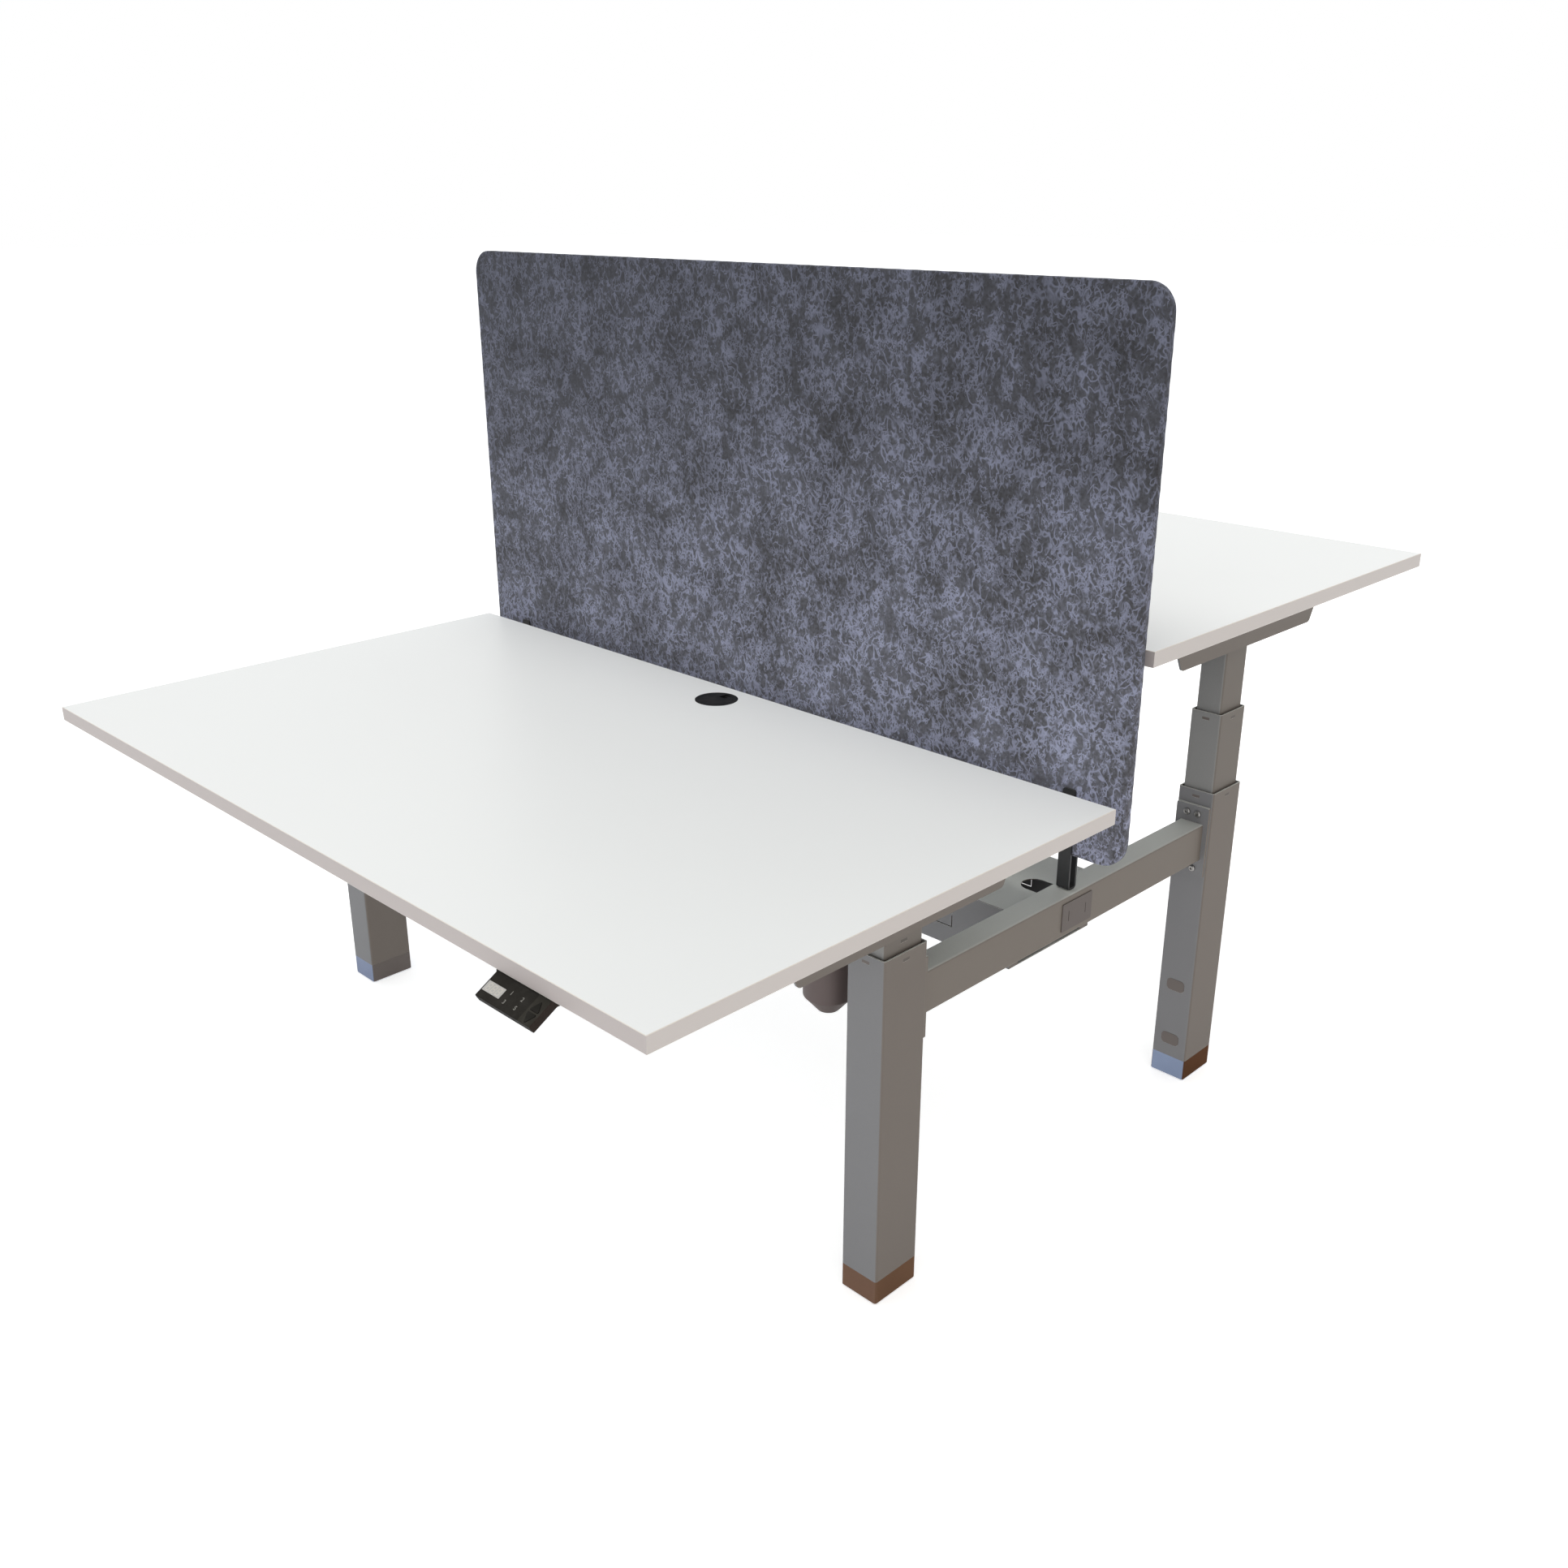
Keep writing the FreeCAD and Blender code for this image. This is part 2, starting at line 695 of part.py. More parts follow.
def cable_tray():
    """The folded trough: base, two walls, and a flange at each end of each wall."""
    half_depth = "tray_depth / 2"
    under_lid = "tray_top - tray_sheet"
    outside = box("tray_outside", "-(%s)" % TRAY_HALF, TRAY_HALF, "-" + half_depth, half_depth,
                  TRAY_LOW, under_lid)
    inner_y = half_depth + " - tray_sheet"
    inside = box("tray_inside", "-(%s - tray_sheet)" % TRAY_HALF, TRAY_HALF + " - tray_sheet",
                 "-(%s)" % inner_y, inner_y, TRAY_LOW + " + tray_sheet", "tray_top")
    mouth_y = half_depth + " - tray_flange"
    mouth = box("tray_mouth", "-column_x", "column_x", "-(%s)" % mouth_y, mouth_y,
                TRAY_LOW + " + tray_sheet", "tray_top")
    holes = []
    for end in ("-", ""):
        y = "%s(tray_depth / 2 - tray_flange / 2)" % end
        hole = cylinder("flange_hole", "bolt_radius + bolt_play", "-column_x", "column_x")
        holes.append(copy_at(hole, "flange_hole_side", 0, y, "tray_top - tray_bolt_drop", QUARTER_TURN, BACK))
    slits = [knock_out_slits("knock_right", 0), knock_out_slits("knock_left", HALF_TURN)]
    return cut("cable_tray_sheet", outside, [fuse("tray_hollow", [inside, mouth] + holes + slits)])


def tray_lid():
    """The flat lid, with a round-ended cable notch at each end and a lip inside each wall."""
    half_depth = "tray_depth / 2"
    plate = box("lid_plate", "-(%s)" % TRAY_HALF, TRAY_HALF, "-" + half_depth, half_depth,
                "tray_top - tray_sheet", "tray_top")
    pieces = [plate]
    lip_end = TRAY_HALF + " - tray_flange"
    for end in (0, HALF_TURN):
        outer = "(%s - tray_sheet - lip_play)" % half_depth
        lip = box("lid_lip", "-(%s)" % lip_end, lip_end, outer + " - tray_sheet", outer,
                  "tray_top - tray_sheet - lip_height", "tray_top - tray_sheet")
        pieces.append(copy_at(lip, "lid_lip_side", turn=end))
    notches = []
    for end in (0, HALF_TURN):
        middle = TRAY_HALF + " - notch_reach + notch_width / 2"
        run = box("notch_run", middle, TRAY_HALF + " + overrun", "-notch_width / 2", "notch_width / 2",
                  TRAY_LOW, "tray_top + overrun")
        nose = cylinder("notch_nose", "notch_width / 2", TRAY_LOW, "tray_top + overrun", middle)
        notches.append(copy_at(fuse("notch_cut", [run, nose]), "notch_end", turn=end))
    return cut("tray_lid_sheet", fuse("lid_solid", pieces), notches)


# Desk

def screw_places():
    """Where the top screws are, seen from the middle of a bracket."""
    return [(side + "screw_spread", end + "screw_reach") for side in ("-", "") for end in ("-", "")]


def desktop():
    """The board, with the grommet's seat and pilot holes for the top screws."""
    body = new_body("desktop")
    sketch = rectangle(sketch_on(body, "XY_Plane", DESK_UNDER), "-desk_width / 2", "desk_width / 2",
                       DESK_FRONT, "-desk_gap / 2")
    pad(body, sketch, "desk_thick")
    round_edges(body, "desk_edge", lambda edge: not upright(edge))
    grommet_y = "-(desk_gap / 2 + grommet_back)"
    seat = circle(sketch_on(body, "XY_Plane", "desk_height"), "grommet_x", grommet_y,
                  "grommet_radius + grommet_play")
    pocket(body, seat, "grommet_flange")
    hole = circle(sketch_on(body, "XY_Plane", "desk_height"), "grommet_x", grommet_y,
                  "sleeve_radius + grommet_play")
    pocket(body, hole)
    pilots = sketch_on(body, "XY_Plane", DESK_UNDER)
    for side in ("-", ""):
        for x, y in screw_places():
            circle(pilots, "%scolumn_x + %s" % (side, x), "%s + %s" % (ARM_Y, y), "screw_radius + screw_play")
    pocket(body, pilots, "screw_grip - arm_sheet + screw_play", reverse=True)
    return body


def desk_arm():
    """The channel between a column and the desktop, open below and at its ends, about its own middle."""
    body = new_body("desk_arm")
    top, base = "arm_length / 2", "arm_base_length / 2"
    low = DESK_UNDER + " - arm_drop"
    outline = [("-" + base, low), (base, low), (top, DESK_UNDER), ("-" + top, DESK_UNDER)]
    pad(body, polygon(sketch_on(body, "YZ_Plane"), outline), "arm_width", True)
    limit = value(low)
    round_edges(body, "arm_corner",
                lambda edge: runs_along(edge, RIGHT) and edge.CenterOfMass.z < limit + value("arm_sheet"))
    hollow = rectangle(sketch_on(body, "YZ_Plane"), "-(%s + overrun)" % top, top + " + overrun",
                       low + " - overrun", GEAR_TOP)
    pocket(body, hollow, "arm_width - 2 * arm_sheet", True)
    window = centred(sketch_on(body, "YZ_Plane"), "2 * (motor_radius + arm_shift + gear_play)",
                     "2 * (arm_drop - arm_sheet)", low)
    pocket(body, window)
    holes = sketch_on(body, "XY_Plane", DESK_UNDER)
    for x, y in screw_places():
        circle(holes, x, y, "screw_radius + screw_play")
    pocket(body, holes)
    return body


def top_screw():
    """A pan-head screw from the bracket up into the desktop, drawn at the bracket's middle."""
    head = cylinder("screw_head", "screw_head_radius", GEAR_TOP + " - screw_head_height", GEAR_TOP)
    shank = cylinder("screw_shank", "screw_radius", GEAR_TOP, GEAR_TOP + " + screw_grip")
    return fuse("top_screw", [head, shank])


def cross_rail():
    """A rail from bracket to bracket, drawn at the brackets' middle."""
    body = new_body("cross_rail")
    middle = DESK_UNDER + " - rail_height / 2"
    length = "2 * column_x - arm_width"
    pad(body, centred(sketch_on(body, "YZ_Plane"), "rail_width", "rail_height", middle), length, True)
    bore = centred(sketch_on(body, "YZ_Plane"), "rail_width - 2 * rail_wall", "rail_height - 2 * rail_wall", middle)
    pocket(body, bore, symmetric=True)
    return body


SHAFT_Z = GEAR_LOW + " + gear_height / 2"


def gear_case(name, inboard):
    """The case on a column's head, with bearings for the spindle and the drive shaft."""
    body = new_body(name + "_block")
    outline = rectangle(sketch_on(body, "XY_Plane", GEAR_LOW), "-(%s)" % inboard, "gear_past",
                        "-motor_radius", "motor_radius")
    pad(body, outline, "gear_height")
    round_edges(body, "gear_soft", upright)
    bearing = circle(sketch_on(body, "XY_Plane", GEAR_LOW), 0, 0, "spindle_radius + bearing_play")
    pocket(body, bearing, "spindle_seat + bearing_play", reverse=True)
    seat = circle(sketch_on(body, "YZ_Plane", "-(%s)" % inboard), 0, SHAFT_Z, "journal_radius + bearing_play")
    pocket(body, seat, "shaft_seat + bearing_play", reverse=True)
    return body


def gear_motor():
    """A motor that hangs beside its column from the gear case on the column's head."""
    case = gear_case("gear_case", "motor_offset + motor_radius")
    motor = new_body("motor_can")
    tip = "motor_rim - motor_cone"
    outline = [(0, tip), ("motor_tip", tip), ("motor_radius", "motor_rim"), ("motor_radius", GEAR_LOW),
               (0, GEAR_LOW)]
    sketch = polygon(sketch_on(motor, "XZ_Plane"), outline)
    turned = motor.newObject("PartDesign::Revolution", "motor_turned")
    turned.Profile = sketch
    turned.ReferenceAxis = (sketch, ["V_Axis"])
    doc.recompute()
    ceiling = value("motor_rim") + value("motor_cone")
    round_edges(motor, "motor_soft",
                lambda edge: edge.Curve.TypeId == "Part::GeomCircle" and edge.CenterOfMass.z < ceiling)
    return fuse("gear_motor", [case, copy_at(motor, "motor_beside", "-motor_offset")])


def drive_shaft():
    """The six-sided bar from the gear motor to the gear head, with a round journal at each end."""
    left, right = "-(column_x - gear_past)", "column_x - motor_offset - motor_radius"
    body = new_body("shaft_bar")
    bar = hexagon(sketch_on(body, "YZ_Plane", left + " + shaft_play"), "shaft_width", SHAFT_Z)
    pad(body, bar, "(%s) - (%s) - 2 * shaft_play" % (right, left))
    journals = circle(sketch_on(body, "YZ_Plane", left + " - shaft_seat"), 0, SHAFT_Z, "journal_radius")
    pad(body, journals, "(%s) - (%s) + 2 * shaft_seat" % (right, left))
    return copy_at(body, "drive_shaft", 0, "-column_y")


def control_box():
    """The control box under the desktop, with its mains inlet and plug-in sockets."""
    body = new_body("control_box")
    low = DESK_UNDER + " - control_height"
    row = "-(column_y + control_shift)"
    sketch = rectangle(sketch_on(body, "XY_Plane", low),
                       "control_x - control_length / 2", "control_x + control_length / 2",
                       "%s - control_width / 2" % row, "%s + control_width / 2" % row)
    pad(body, sketch, "control_height")
    round_edges(body, "control_soft", upright)
    middle = low + " + control_height / 2"
    inlet = sketch_on(body, "XZ_Plane", "column_y + control_shift + control_width / 2")
    rectangle(inlet, "control_x - 2 * jack_pitch - inlet_width / 2", "control_x - 2 * jack_pitch + inlet_width / 2",
              middle + " - inlet_height / 2", middle + " + inlet_height / 2")
    for place in range(3):
        x = "control_x + %d * jack_pitch" % place
        rectangle(inlet, x + " - jack_width / 2", x + " + jack_width / 2",
                  middle + " - jack_height / 2", middle + " + jack_height / 2")
    pocket(body, inlet, "jack_depth")
    return body


FACE_LENGTH = "sqrt(face_run * face_run + face_fall * face_fall)"


def on_face(source, name):
    """Lay a piece on the handset's sloping face: X to the right, Y up the slope, Z out of the face."""
    item = copy_at(source, name, "handset_x", DESK_FRONT, DESK_UNDER + " - handset_drop", 0, RIGHT)
    item.Placement.Rotation = FreeCAD.Rotation(RIGHT, value("atan(face_fall / face_run)"))
    bind(item, "Placement.Rotation.Angle", "atan(face_fall / face_run)")
    return item


def key_body(name, base, apex, grow, low, high):
    """A triangular key, or the hole for it, on the plane of the handset's face."""
    body = new_body(name)
    half = "(key_width / 2 + %s)" % grow
    points = [("key_middle - " + half, base), ("key_middle + " + half, base), ("key_middle", apex)]
    pad(body, polygon(sketch_on(body, "XY_Plane", low), points), "(%s) - (%s)" % (high, low))
    round_edges(body, "key_corner", upright)
    return body


def key_shapes(name, base, direction):
    """A key on the face and the hole that it moves in."""
    back = "-" if direction == "+" else "+"
    apex = "%s %s key_height" % (base, direction)
    key = key_body(name, base, apex, "0", "key_proud - key_thick", "key_proud")
    hole_base = "%s %s key_play" % (base, back)
    hole_apex = "%s %s 2 * key_play" % (apex, direction)
    floor = "key_proud - key_thick - key_travel - key_play"
    hole = key_body(name + "_hole", hole_base, hole_apex, "2 * key_play", floor, "overrun")
    return on_face(key, name + "_on_face"), on_face(hole, name + "_hole_on_face")


def window_block(name, grow, high):
    """The display window, or the seat for it, on the plane of the handset's face."""
    right, near = "window_left + window_width + %s" % grow, "-window_far + %s" % grow
    return on_face(box(name, "window_left - %s" % grow, right, "-window_far - window_height - %s" % grow, near,
                       "-window_thick", high), name + "_on_face")


def handset_case(holes):
    """The bent plate under the desk's front edge: flat where it is fixed, then sloping, with its keys."""
    body = new_body("handset_plate")
    brow, flat = DESK_UNDER + " - handset_drop", DESK_UNDER + " - handset_deep"
    tip_y, tip_z = DESK_FRONT + " - face_run", brow + " - face_fall"
    lip_y = "%s + lip_thick * face_fall / %s" % (tip_y, FACE_LENGTH)
    lip_z = "%s - lip_thick * face_run / %s" % (tip_z, FACE_LENGTH)
    bend_y = "%s + (%s - (%s)) * face_run / face_fall" % (lip_y, flat, lip_z)
    points = [(DESK_FRONT, DESK_UNDER), (DESK_FRONT, brow), (tip_y, tip_z), (lip_y, lip_z), (bend_y, flat),
              (DESK_FRONT + " + handset_back", flat), (DESK_FRONT + " + handset_back", DESK_UNDER)]
    pad(body, polygon(sketch_on(body, "YZ_Plane", "handset_x"), points), "handset_width")
    middle = FreeCAD.Vector(value("handset_x + handset_width / 2"), value(bend_y), value(flat))
    round_edges(body, "handset_bend", lambda edge: edge.CenterOfMass.isEqual(middle, value("handset_soft")))
    limit = value(DESK_FRONT) - value("lip_thick")
    round_edges(body, "handset_soft", lambda edge: edge.CenterOfMass.y < limit)
    return cut("handset_case", body, holes)


def grommet_ring():
    """The grommet's flange and sleeve, with a ledge for the lid."""
    x, y = "grommet_x", "-(desk_gap / 2 + grommet_back)"
    flange = cylinder("ring_flange", "grommet_radius", "desk_height - grommet_flange", "desk_height", x, y)
    sleeve = cylinder("ring_sleeve", "sleeve_radius", "desk_height - sleeve_length", "desk_height", x, y)
    seat = cylinder("ring_seat", "lid_radius + lid_play", "desk_height - lid_thick - lid_play",
                    "desk_height + overrun", x, y)
    bore = cylinder("ring_bore", "ledge_radius", DESK_UNDER + " - sleeve_length", "desk_height + overrun", x, y)
    return cut("grommet_ring", fuse("ring_solid", [flange, sleeve]), [fuse("ring_hollow", [seat, bore])])


def grommet_lid():
    """The turning lid, with a notch in its rim for cables."""
    x, y = "grommet_x", "-(desk_gap / 2 + grommet_back)"
    low = "desk_height - lid_thick"
    disc = cylinder("lid_disc", "lid_radius", low, "desk_height", x, y)
    notch = box("lid_gap", x + " - lid_notch / 2", x + " + lid_notch / 2", y + " + lid_radius - lid_notch_reach",
                y + " + lid_radius + overrun", low + " - overrun", "desk_height + overrun")
    return cut("grommet_lid", disc, [notch])


# The bench is put together here. Every sub-part is kept by its name.
sub_parts = {}


def add(name, item):
    """Name a finished sub-part."""
    item.Label = name
    sub_parts[name] = item


STATIONS = (("front", "-", 0, 0), ("rear", "", HALF_TURN, "rear_raise"))
SIDES = (("left", "-", HALF_TURN), ("right", "", 0))


def columns_of(source, name, lift=0):
    """A column piece in its four places, named by station and side."""
    places = {}
    for station, back, turn, raised in STATIONS:
        for side, across, _ in SIDES:
            label = "%s_%s_%s" % (name, station, side)
            height = "%s * (%s)" % (lift, raised)
            places[station, side] = copy_at(source, label, across + "column_x", back + "column_y", height, turn)
    return places


def build_columns():
    """Tubes, caps, feet, plugs, collars and spindles."""
    tubes = columns_of(outer_tube(), "outer_tube")
    feet = columns_of(levelling_foot(), "levelling_foot")
    middles = columns_of(middle_tube(), "middle_tube", "1 / 2")
    inners = columns_of(inner_tube(), "inner_tube", 1)
    spindles = columns_of(spindle(), "spindle", 1)
    for (station, side), tube in tubes.items():
        add("outer_tube_%s_%s" % (station, side), tube)
        add("levelling_foot_%s_%s" % (station, side), feet[station, side])
        add("%s_middle_tube_%s" % (station, side), middles[station, side])
        add("%s_inner_tube_%s" % (station, side), inners[station, side])
        add("%s_spindle_%s" % (station, side), spindles[station, side])
    add("foot_caps", group("foot_caps", list(columns_of(foot_cap(), "foot_cap").values())))
    plug = column_plug()
    pair = group("plug_pair", [copy_at(plug, "plug_at", z=height) for height in ("plug_low", "plug_high")])
    add("column_plugs", group("column_plugs", list(columns_of(pair, "plugs").values())))
    collar = glide_collar("outer_glide", 0, "tube_wall", "tube_corner - tube_wall", "tube_top")
    add("outer_glides", group("outer_glides", list(columns_of(collar, "outer_glide").values())))
    collar = glide_collar("middle_glide", 1, "stage_wall", "tube_corner - stage_wall", "middle_top")
    collars = columns_of(collar, "middle_glide", "1 / 2")
    for station, *_ in STATIONS:
        pair = [collars[station, side] for side, *_ in SIDES]
        add(station + "_middle_glides", group(station + "_middle_glides", pair))


def build_frame():
    """Beams, covers, bolts, screen and tray."""
    beam, cover, bracket = side_beam(), beam_cover(), screen_bracket()
    beams, covers, brackets = [], [], []
    for side, across, turn in SIDES:
        beams.append(copy_at(beam, "beam_" + side, across + "column_x", turn=turn))
        face = "%s(column_x + beam_width / 2)" % across
        covers.append(copy_at(cover, "cover_" + side, face, turn=turn))
        brackets.append(copy_at(bracket, "bracket_" + side, across + "column_x"))
    add("side_beams", group("side_beams", beams))
    add("beam_covers", group("beam_covers", covers))
    add("screen_brackets", group("screen_brackets", brackets))
    add("screen_panel", screen_panel())
    add("cable_tray", cable_tray())
    add("tray_lid", tray_lid())
    bolt = button_bolt("plate_bolt", "plate_thick + tube_wall + bolt_past")
    bolts = []
    for station, back, *_ in STATIONS:
        turn = QUARTER_TURN if station == "rear" else -QUARTER_TURN
        seat = "%s(%s - plate_thick)" % (back, BEAM_HALF)
        for side, across, _ in SIDES:
            for along in ("-", "+"):
                for rise in ("-", "+"):
                    x = "%scolumn_x %s bolt_spread" % (across, along)
                    z = "beam_mid %s bolt_reach" % rise
                    bolts.append(copy_at(bolt, "bolt_at_plate", x, seat, z, turn, RIGHT))
    bolt = button_bolt("flange_bolt", "tray_sheet + beam_wall + bolt_past")
    for side, across, _ in SIDES:
        turn = QUARTER_TURN if side == "left" else -QUARTER_TURN
        for end in ("-", ""):
            x = "%s(%s - tray_sheet)" % (across, TRAY_HALF)
            y = "%s(tray_depth / 2 - tray_flange / 2)" % end
            bolts.append(copy_at(bolt, "bolt_at_flange", x, y, "tray_top - tray_bolt_drop", turn, BACK))
    add("frame_bolts", group("frame_bolts", bolts))


def desk_pieces():
    """Every piece that both desks have, in its place at the front desk."""
    up, up_hole = key_shapes("up_key", "-up_base", "+")
    down, down_hole = key_shapes("down_key", "-down_base", "-")
    arm, screw = desk_arm(), top_screw()
    pieces = {"desktop": desktop(), "control_box": control_box(), "drive_shaft": drive_shaft(),
              "grommet_ring": grommet_ring(),
              "grommet_lid": grommet_lid(), "up_key": up, "down_key": down,
              "handset_window": window_block("window", "0", 0),
              "handset_case": handset_case([up_hole, down_hole, window_block("window_seat", "window_play",
                                                                              "overrun")])}
    motor = copy_at(gear_motor(), "motor_right", "column_x", "-column_y")
    head = copy_at(gear_case("gear_head", "gear_past"), "head_left", "-column_x", "-column_y", turn=HALF_TURN)
    pieces["gear_motor"] = group("gear_drive", [motor, head])
    screws = []
    for side, across, turn in SIDES:
        pieces["arm_" + side] = copy_at(arm, "arm_" + side, across + "column_x", ARM_Y, turn=turn)
        for x, y in screw_places():
            screws.append(copy_at(screw, "screw_at", "%scolumn_x + %s" % (across, x), "%s + %s" % (ARM_Y, y)))
    rail = cross_rail()
    rails = [copy_at(rail, "rail_at", 0, "%s + %srail_reach" % (ARM_Y, end)) for end in ("-", "")]
    pieces["top_screws"] = group("top_screws", screws)
    pieces["cross_rails"] = group("cross_rails", rails)
    return pieces


def build_desks():
    """The two desks: the second is the first turned half round and raised."""
    pieces = desk_pieces()
    opposite = {"arm_left": "arm_right", "arm_right": "arm_left"}
    for station, _, turn, raised in STATIONS:
        for name, piece in pieces.items():
            label = opposite.get(name, name) if turn else name
            add("%s_%s" % (station, label), copy_at(piece, "%s_%s" % (station, name), z=raised, turn=turn))


build_columns()
build_frame()
build_desks()
doc.recompute()

for item in doc.Objects:
    if "Invalid" in item.State or "Error" in item.State:
        raise ValueError("%s failed: %s" % (item.Label, item.State))
for name, item in sub_parts.items():
    if item.Shape.isNull() or not item.Shape.isValid() or not item.Shape.Solids:
        raise ValueError("%s has no sound shape" % name)

os.makedirs("parts", exist_ok=True)
for name, item in sub_parts.items():
    item.Shape.exportStep("parts/%s.step" % name)
print("Wrote %d sub-parts" % len(sub_parts))
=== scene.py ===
# %% [markdown]
# # Dressing a two-person sit-stand bench
#
# The bench comes from CAD with every piece in its place, in metres. This lesson gives it its looks: a felt
# screen with soft edges, powder-coated steel, white melamine boards, chrome end caps and a small black handset.
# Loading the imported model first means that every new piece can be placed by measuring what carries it.

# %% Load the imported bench
import json
import math

import bmesh
import bpy
from mathutils import Matrix, Vector


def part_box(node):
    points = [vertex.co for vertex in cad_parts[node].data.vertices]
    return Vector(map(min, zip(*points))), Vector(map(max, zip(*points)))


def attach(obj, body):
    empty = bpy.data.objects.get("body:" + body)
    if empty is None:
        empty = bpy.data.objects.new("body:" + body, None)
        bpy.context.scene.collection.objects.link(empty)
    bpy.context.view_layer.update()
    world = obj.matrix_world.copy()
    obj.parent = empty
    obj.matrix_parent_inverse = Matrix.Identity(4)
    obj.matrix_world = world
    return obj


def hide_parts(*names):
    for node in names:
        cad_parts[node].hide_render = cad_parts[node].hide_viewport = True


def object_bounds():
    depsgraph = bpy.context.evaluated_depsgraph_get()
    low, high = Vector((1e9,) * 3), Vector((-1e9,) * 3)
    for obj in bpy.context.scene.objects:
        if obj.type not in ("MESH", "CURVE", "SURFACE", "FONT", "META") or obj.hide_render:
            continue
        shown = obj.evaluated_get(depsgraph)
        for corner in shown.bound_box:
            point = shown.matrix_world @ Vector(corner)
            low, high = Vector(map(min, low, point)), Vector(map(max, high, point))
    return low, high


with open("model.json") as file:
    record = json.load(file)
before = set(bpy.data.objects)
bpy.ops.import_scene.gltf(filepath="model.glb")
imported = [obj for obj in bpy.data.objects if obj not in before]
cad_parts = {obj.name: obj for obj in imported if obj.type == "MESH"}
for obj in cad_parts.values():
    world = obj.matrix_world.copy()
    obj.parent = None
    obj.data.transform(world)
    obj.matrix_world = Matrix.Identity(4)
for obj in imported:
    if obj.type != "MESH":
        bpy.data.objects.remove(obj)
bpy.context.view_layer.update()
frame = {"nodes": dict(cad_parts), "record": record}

# %% [markdown]
# ## A short way to write node trees
#
# Materials here are all made of nodes. Writing `nodes.new` and `links.new` by hand for each one hides what a
# material does, so one helper places a node and fills or links its inputs. Inputs are given by name or number.
# The kinds of node that come up again and again get a helper of their own.

# %% Node helpers
MIX_SHARE, MIX_FIRST, MIX_SECOND, MIX_RESULT = 0, 6, 7, 2


def place(tree, kind, inputs=None, **settings):
    """Place one node. An input is a value, or another node's output to link."""
    node = tree.nodes.new("ShaderNode" + kind)
    for name, setting in settings.items():
        setattr(node, name, setting)
    for key, given in (inputs or {}).items():
        if isinstance(given, bpy.types.NodeSocket):
            tree.links.new(given, node.inputs[key])
        else:
            node.inputs[key].default_value = given
    return node


def math_node(tree, operation, first, second=0.0, clamp=False):
    """One sum; gives its output."""
    return place(tree, "Math", {0: first, 1: second}, operation=operation, use_clamp=clamp).outputs[0]


def times(tree, first, second):
    """A product; gives its output."""
    return math_node(tree, "MULTIPLY", first, second)


def blend_colour(tree, share, first, second, how="MIX"):
    """Two colours mixed by a share; gives the result."""
    inputs = {MIX_SHARE: share, MIX_FIRST: first, MIX_SECOND: second}
    return place(tree, "Mix", inputs, data_type="RGBA", blend_type=how).outputs[MIX_RESULT]


def shade_by(tree, colour, tone):
    """A colour multiplied by a tone or by another colour."""
    return blend_colour(tree, 1.0, colour, tone, "MULTIPLY")


def ramp(tree, given, low, high, start=0.0, end=1.0):
    """Stretch a range of values smoothly to another one."""
    inputs = {"Value": given, "From Min": low, "From Max": high, "To Min": start, "To Max": end}
    return place(tree, "MapRange", inputs, interpolation_type="SMOOTHSTEP").outputs["Result"]


def own_spot(tree):
    """Where a point lies on its object, in metres."""
    return place(tree, "TexCoord").outputs["Object"]


def true_normal(tree):
    """The way a face looks."""
    return place(tree, "NewGeometry").outputs["Normal"]


def axes(tree, vector):
    """A vector's X, Y and Z."""
    return place(tree, "SeparateXYZ", {0: vector}).outputs


def noise(tree, spot, scale, detail, rough=0.5):
    """Noise with so many lumps in a metre; gives its level first, then its colour."""
    return place(tree, "TexNoise", {"Vector": spot, "Scale": scale, "Detail": detail, "Roughness": rough}).outputs


def tint(red, green, blue):
    """A colour as it is read off a screen, 0 to 255, in the linear values that shaders take."""
    linear = [((c / 255 + 0.055) / 1.055) ** 2.4 if c > 10 else c / 255 / 12.92 for c in (red, green, blue)]
    return (*linear, 1.0)


print("mid grey is", [round(c, 3) for c in tint(128, 128, 128)])

# %% [markdown]
# ## Effects that several finishes share
#
# Paint, plastic and melamine all have a fine grain, slow changes of tone, painted highlights on edges that look up
# and a little dust. Each effect is one node group with its own inputs, so a finish only says how much of it it has.
# A group could also hold the whole shader, but then an exporter can't read it, so groups give out only masks, tones
# and heights.

# %% Start a node group
MID_NOISE = 0.5


def new_group(name, inputs, outputs):
    """An empty node group with float inputs, by name and start value; gives the tree and its two ends."""
    tree = bpy.data.node_groups.new(name, "ShaderNodeTree")
    for label, start in inputs.items():
        socket = tree.interface.new_socket(label, in_out="INPUT", socket_type="NodeSocketFloat")
        socket.default_value = start
    for label in outputs:
        tree.interface.new_socket(label, in_out="OUTPUT", socket_type="NodeSocketFloat")
    return tree, tree.nodes.new("NodeGroupInput").outputs, tree.nodes.new("NodeGroupOutput").inputs


def tone_about_one(tree, level, contrast):
    """Noise as a tone that moves a little either side of 1, to multiply a colour or a roughness with."""
    swing = times(tree, math_node(tree, "SUBTRACT", level, MID_NOISE), contrast)
    return math_node(tree, "ADD", swing, 1.0)


print("groups so far:", len(bpy.data.node_groups))

# %% [markdown]
# Fine grain is noise at the size of a coating's orange peel or a mould's etched skin. Two sizes of noise look
# less regular than one.

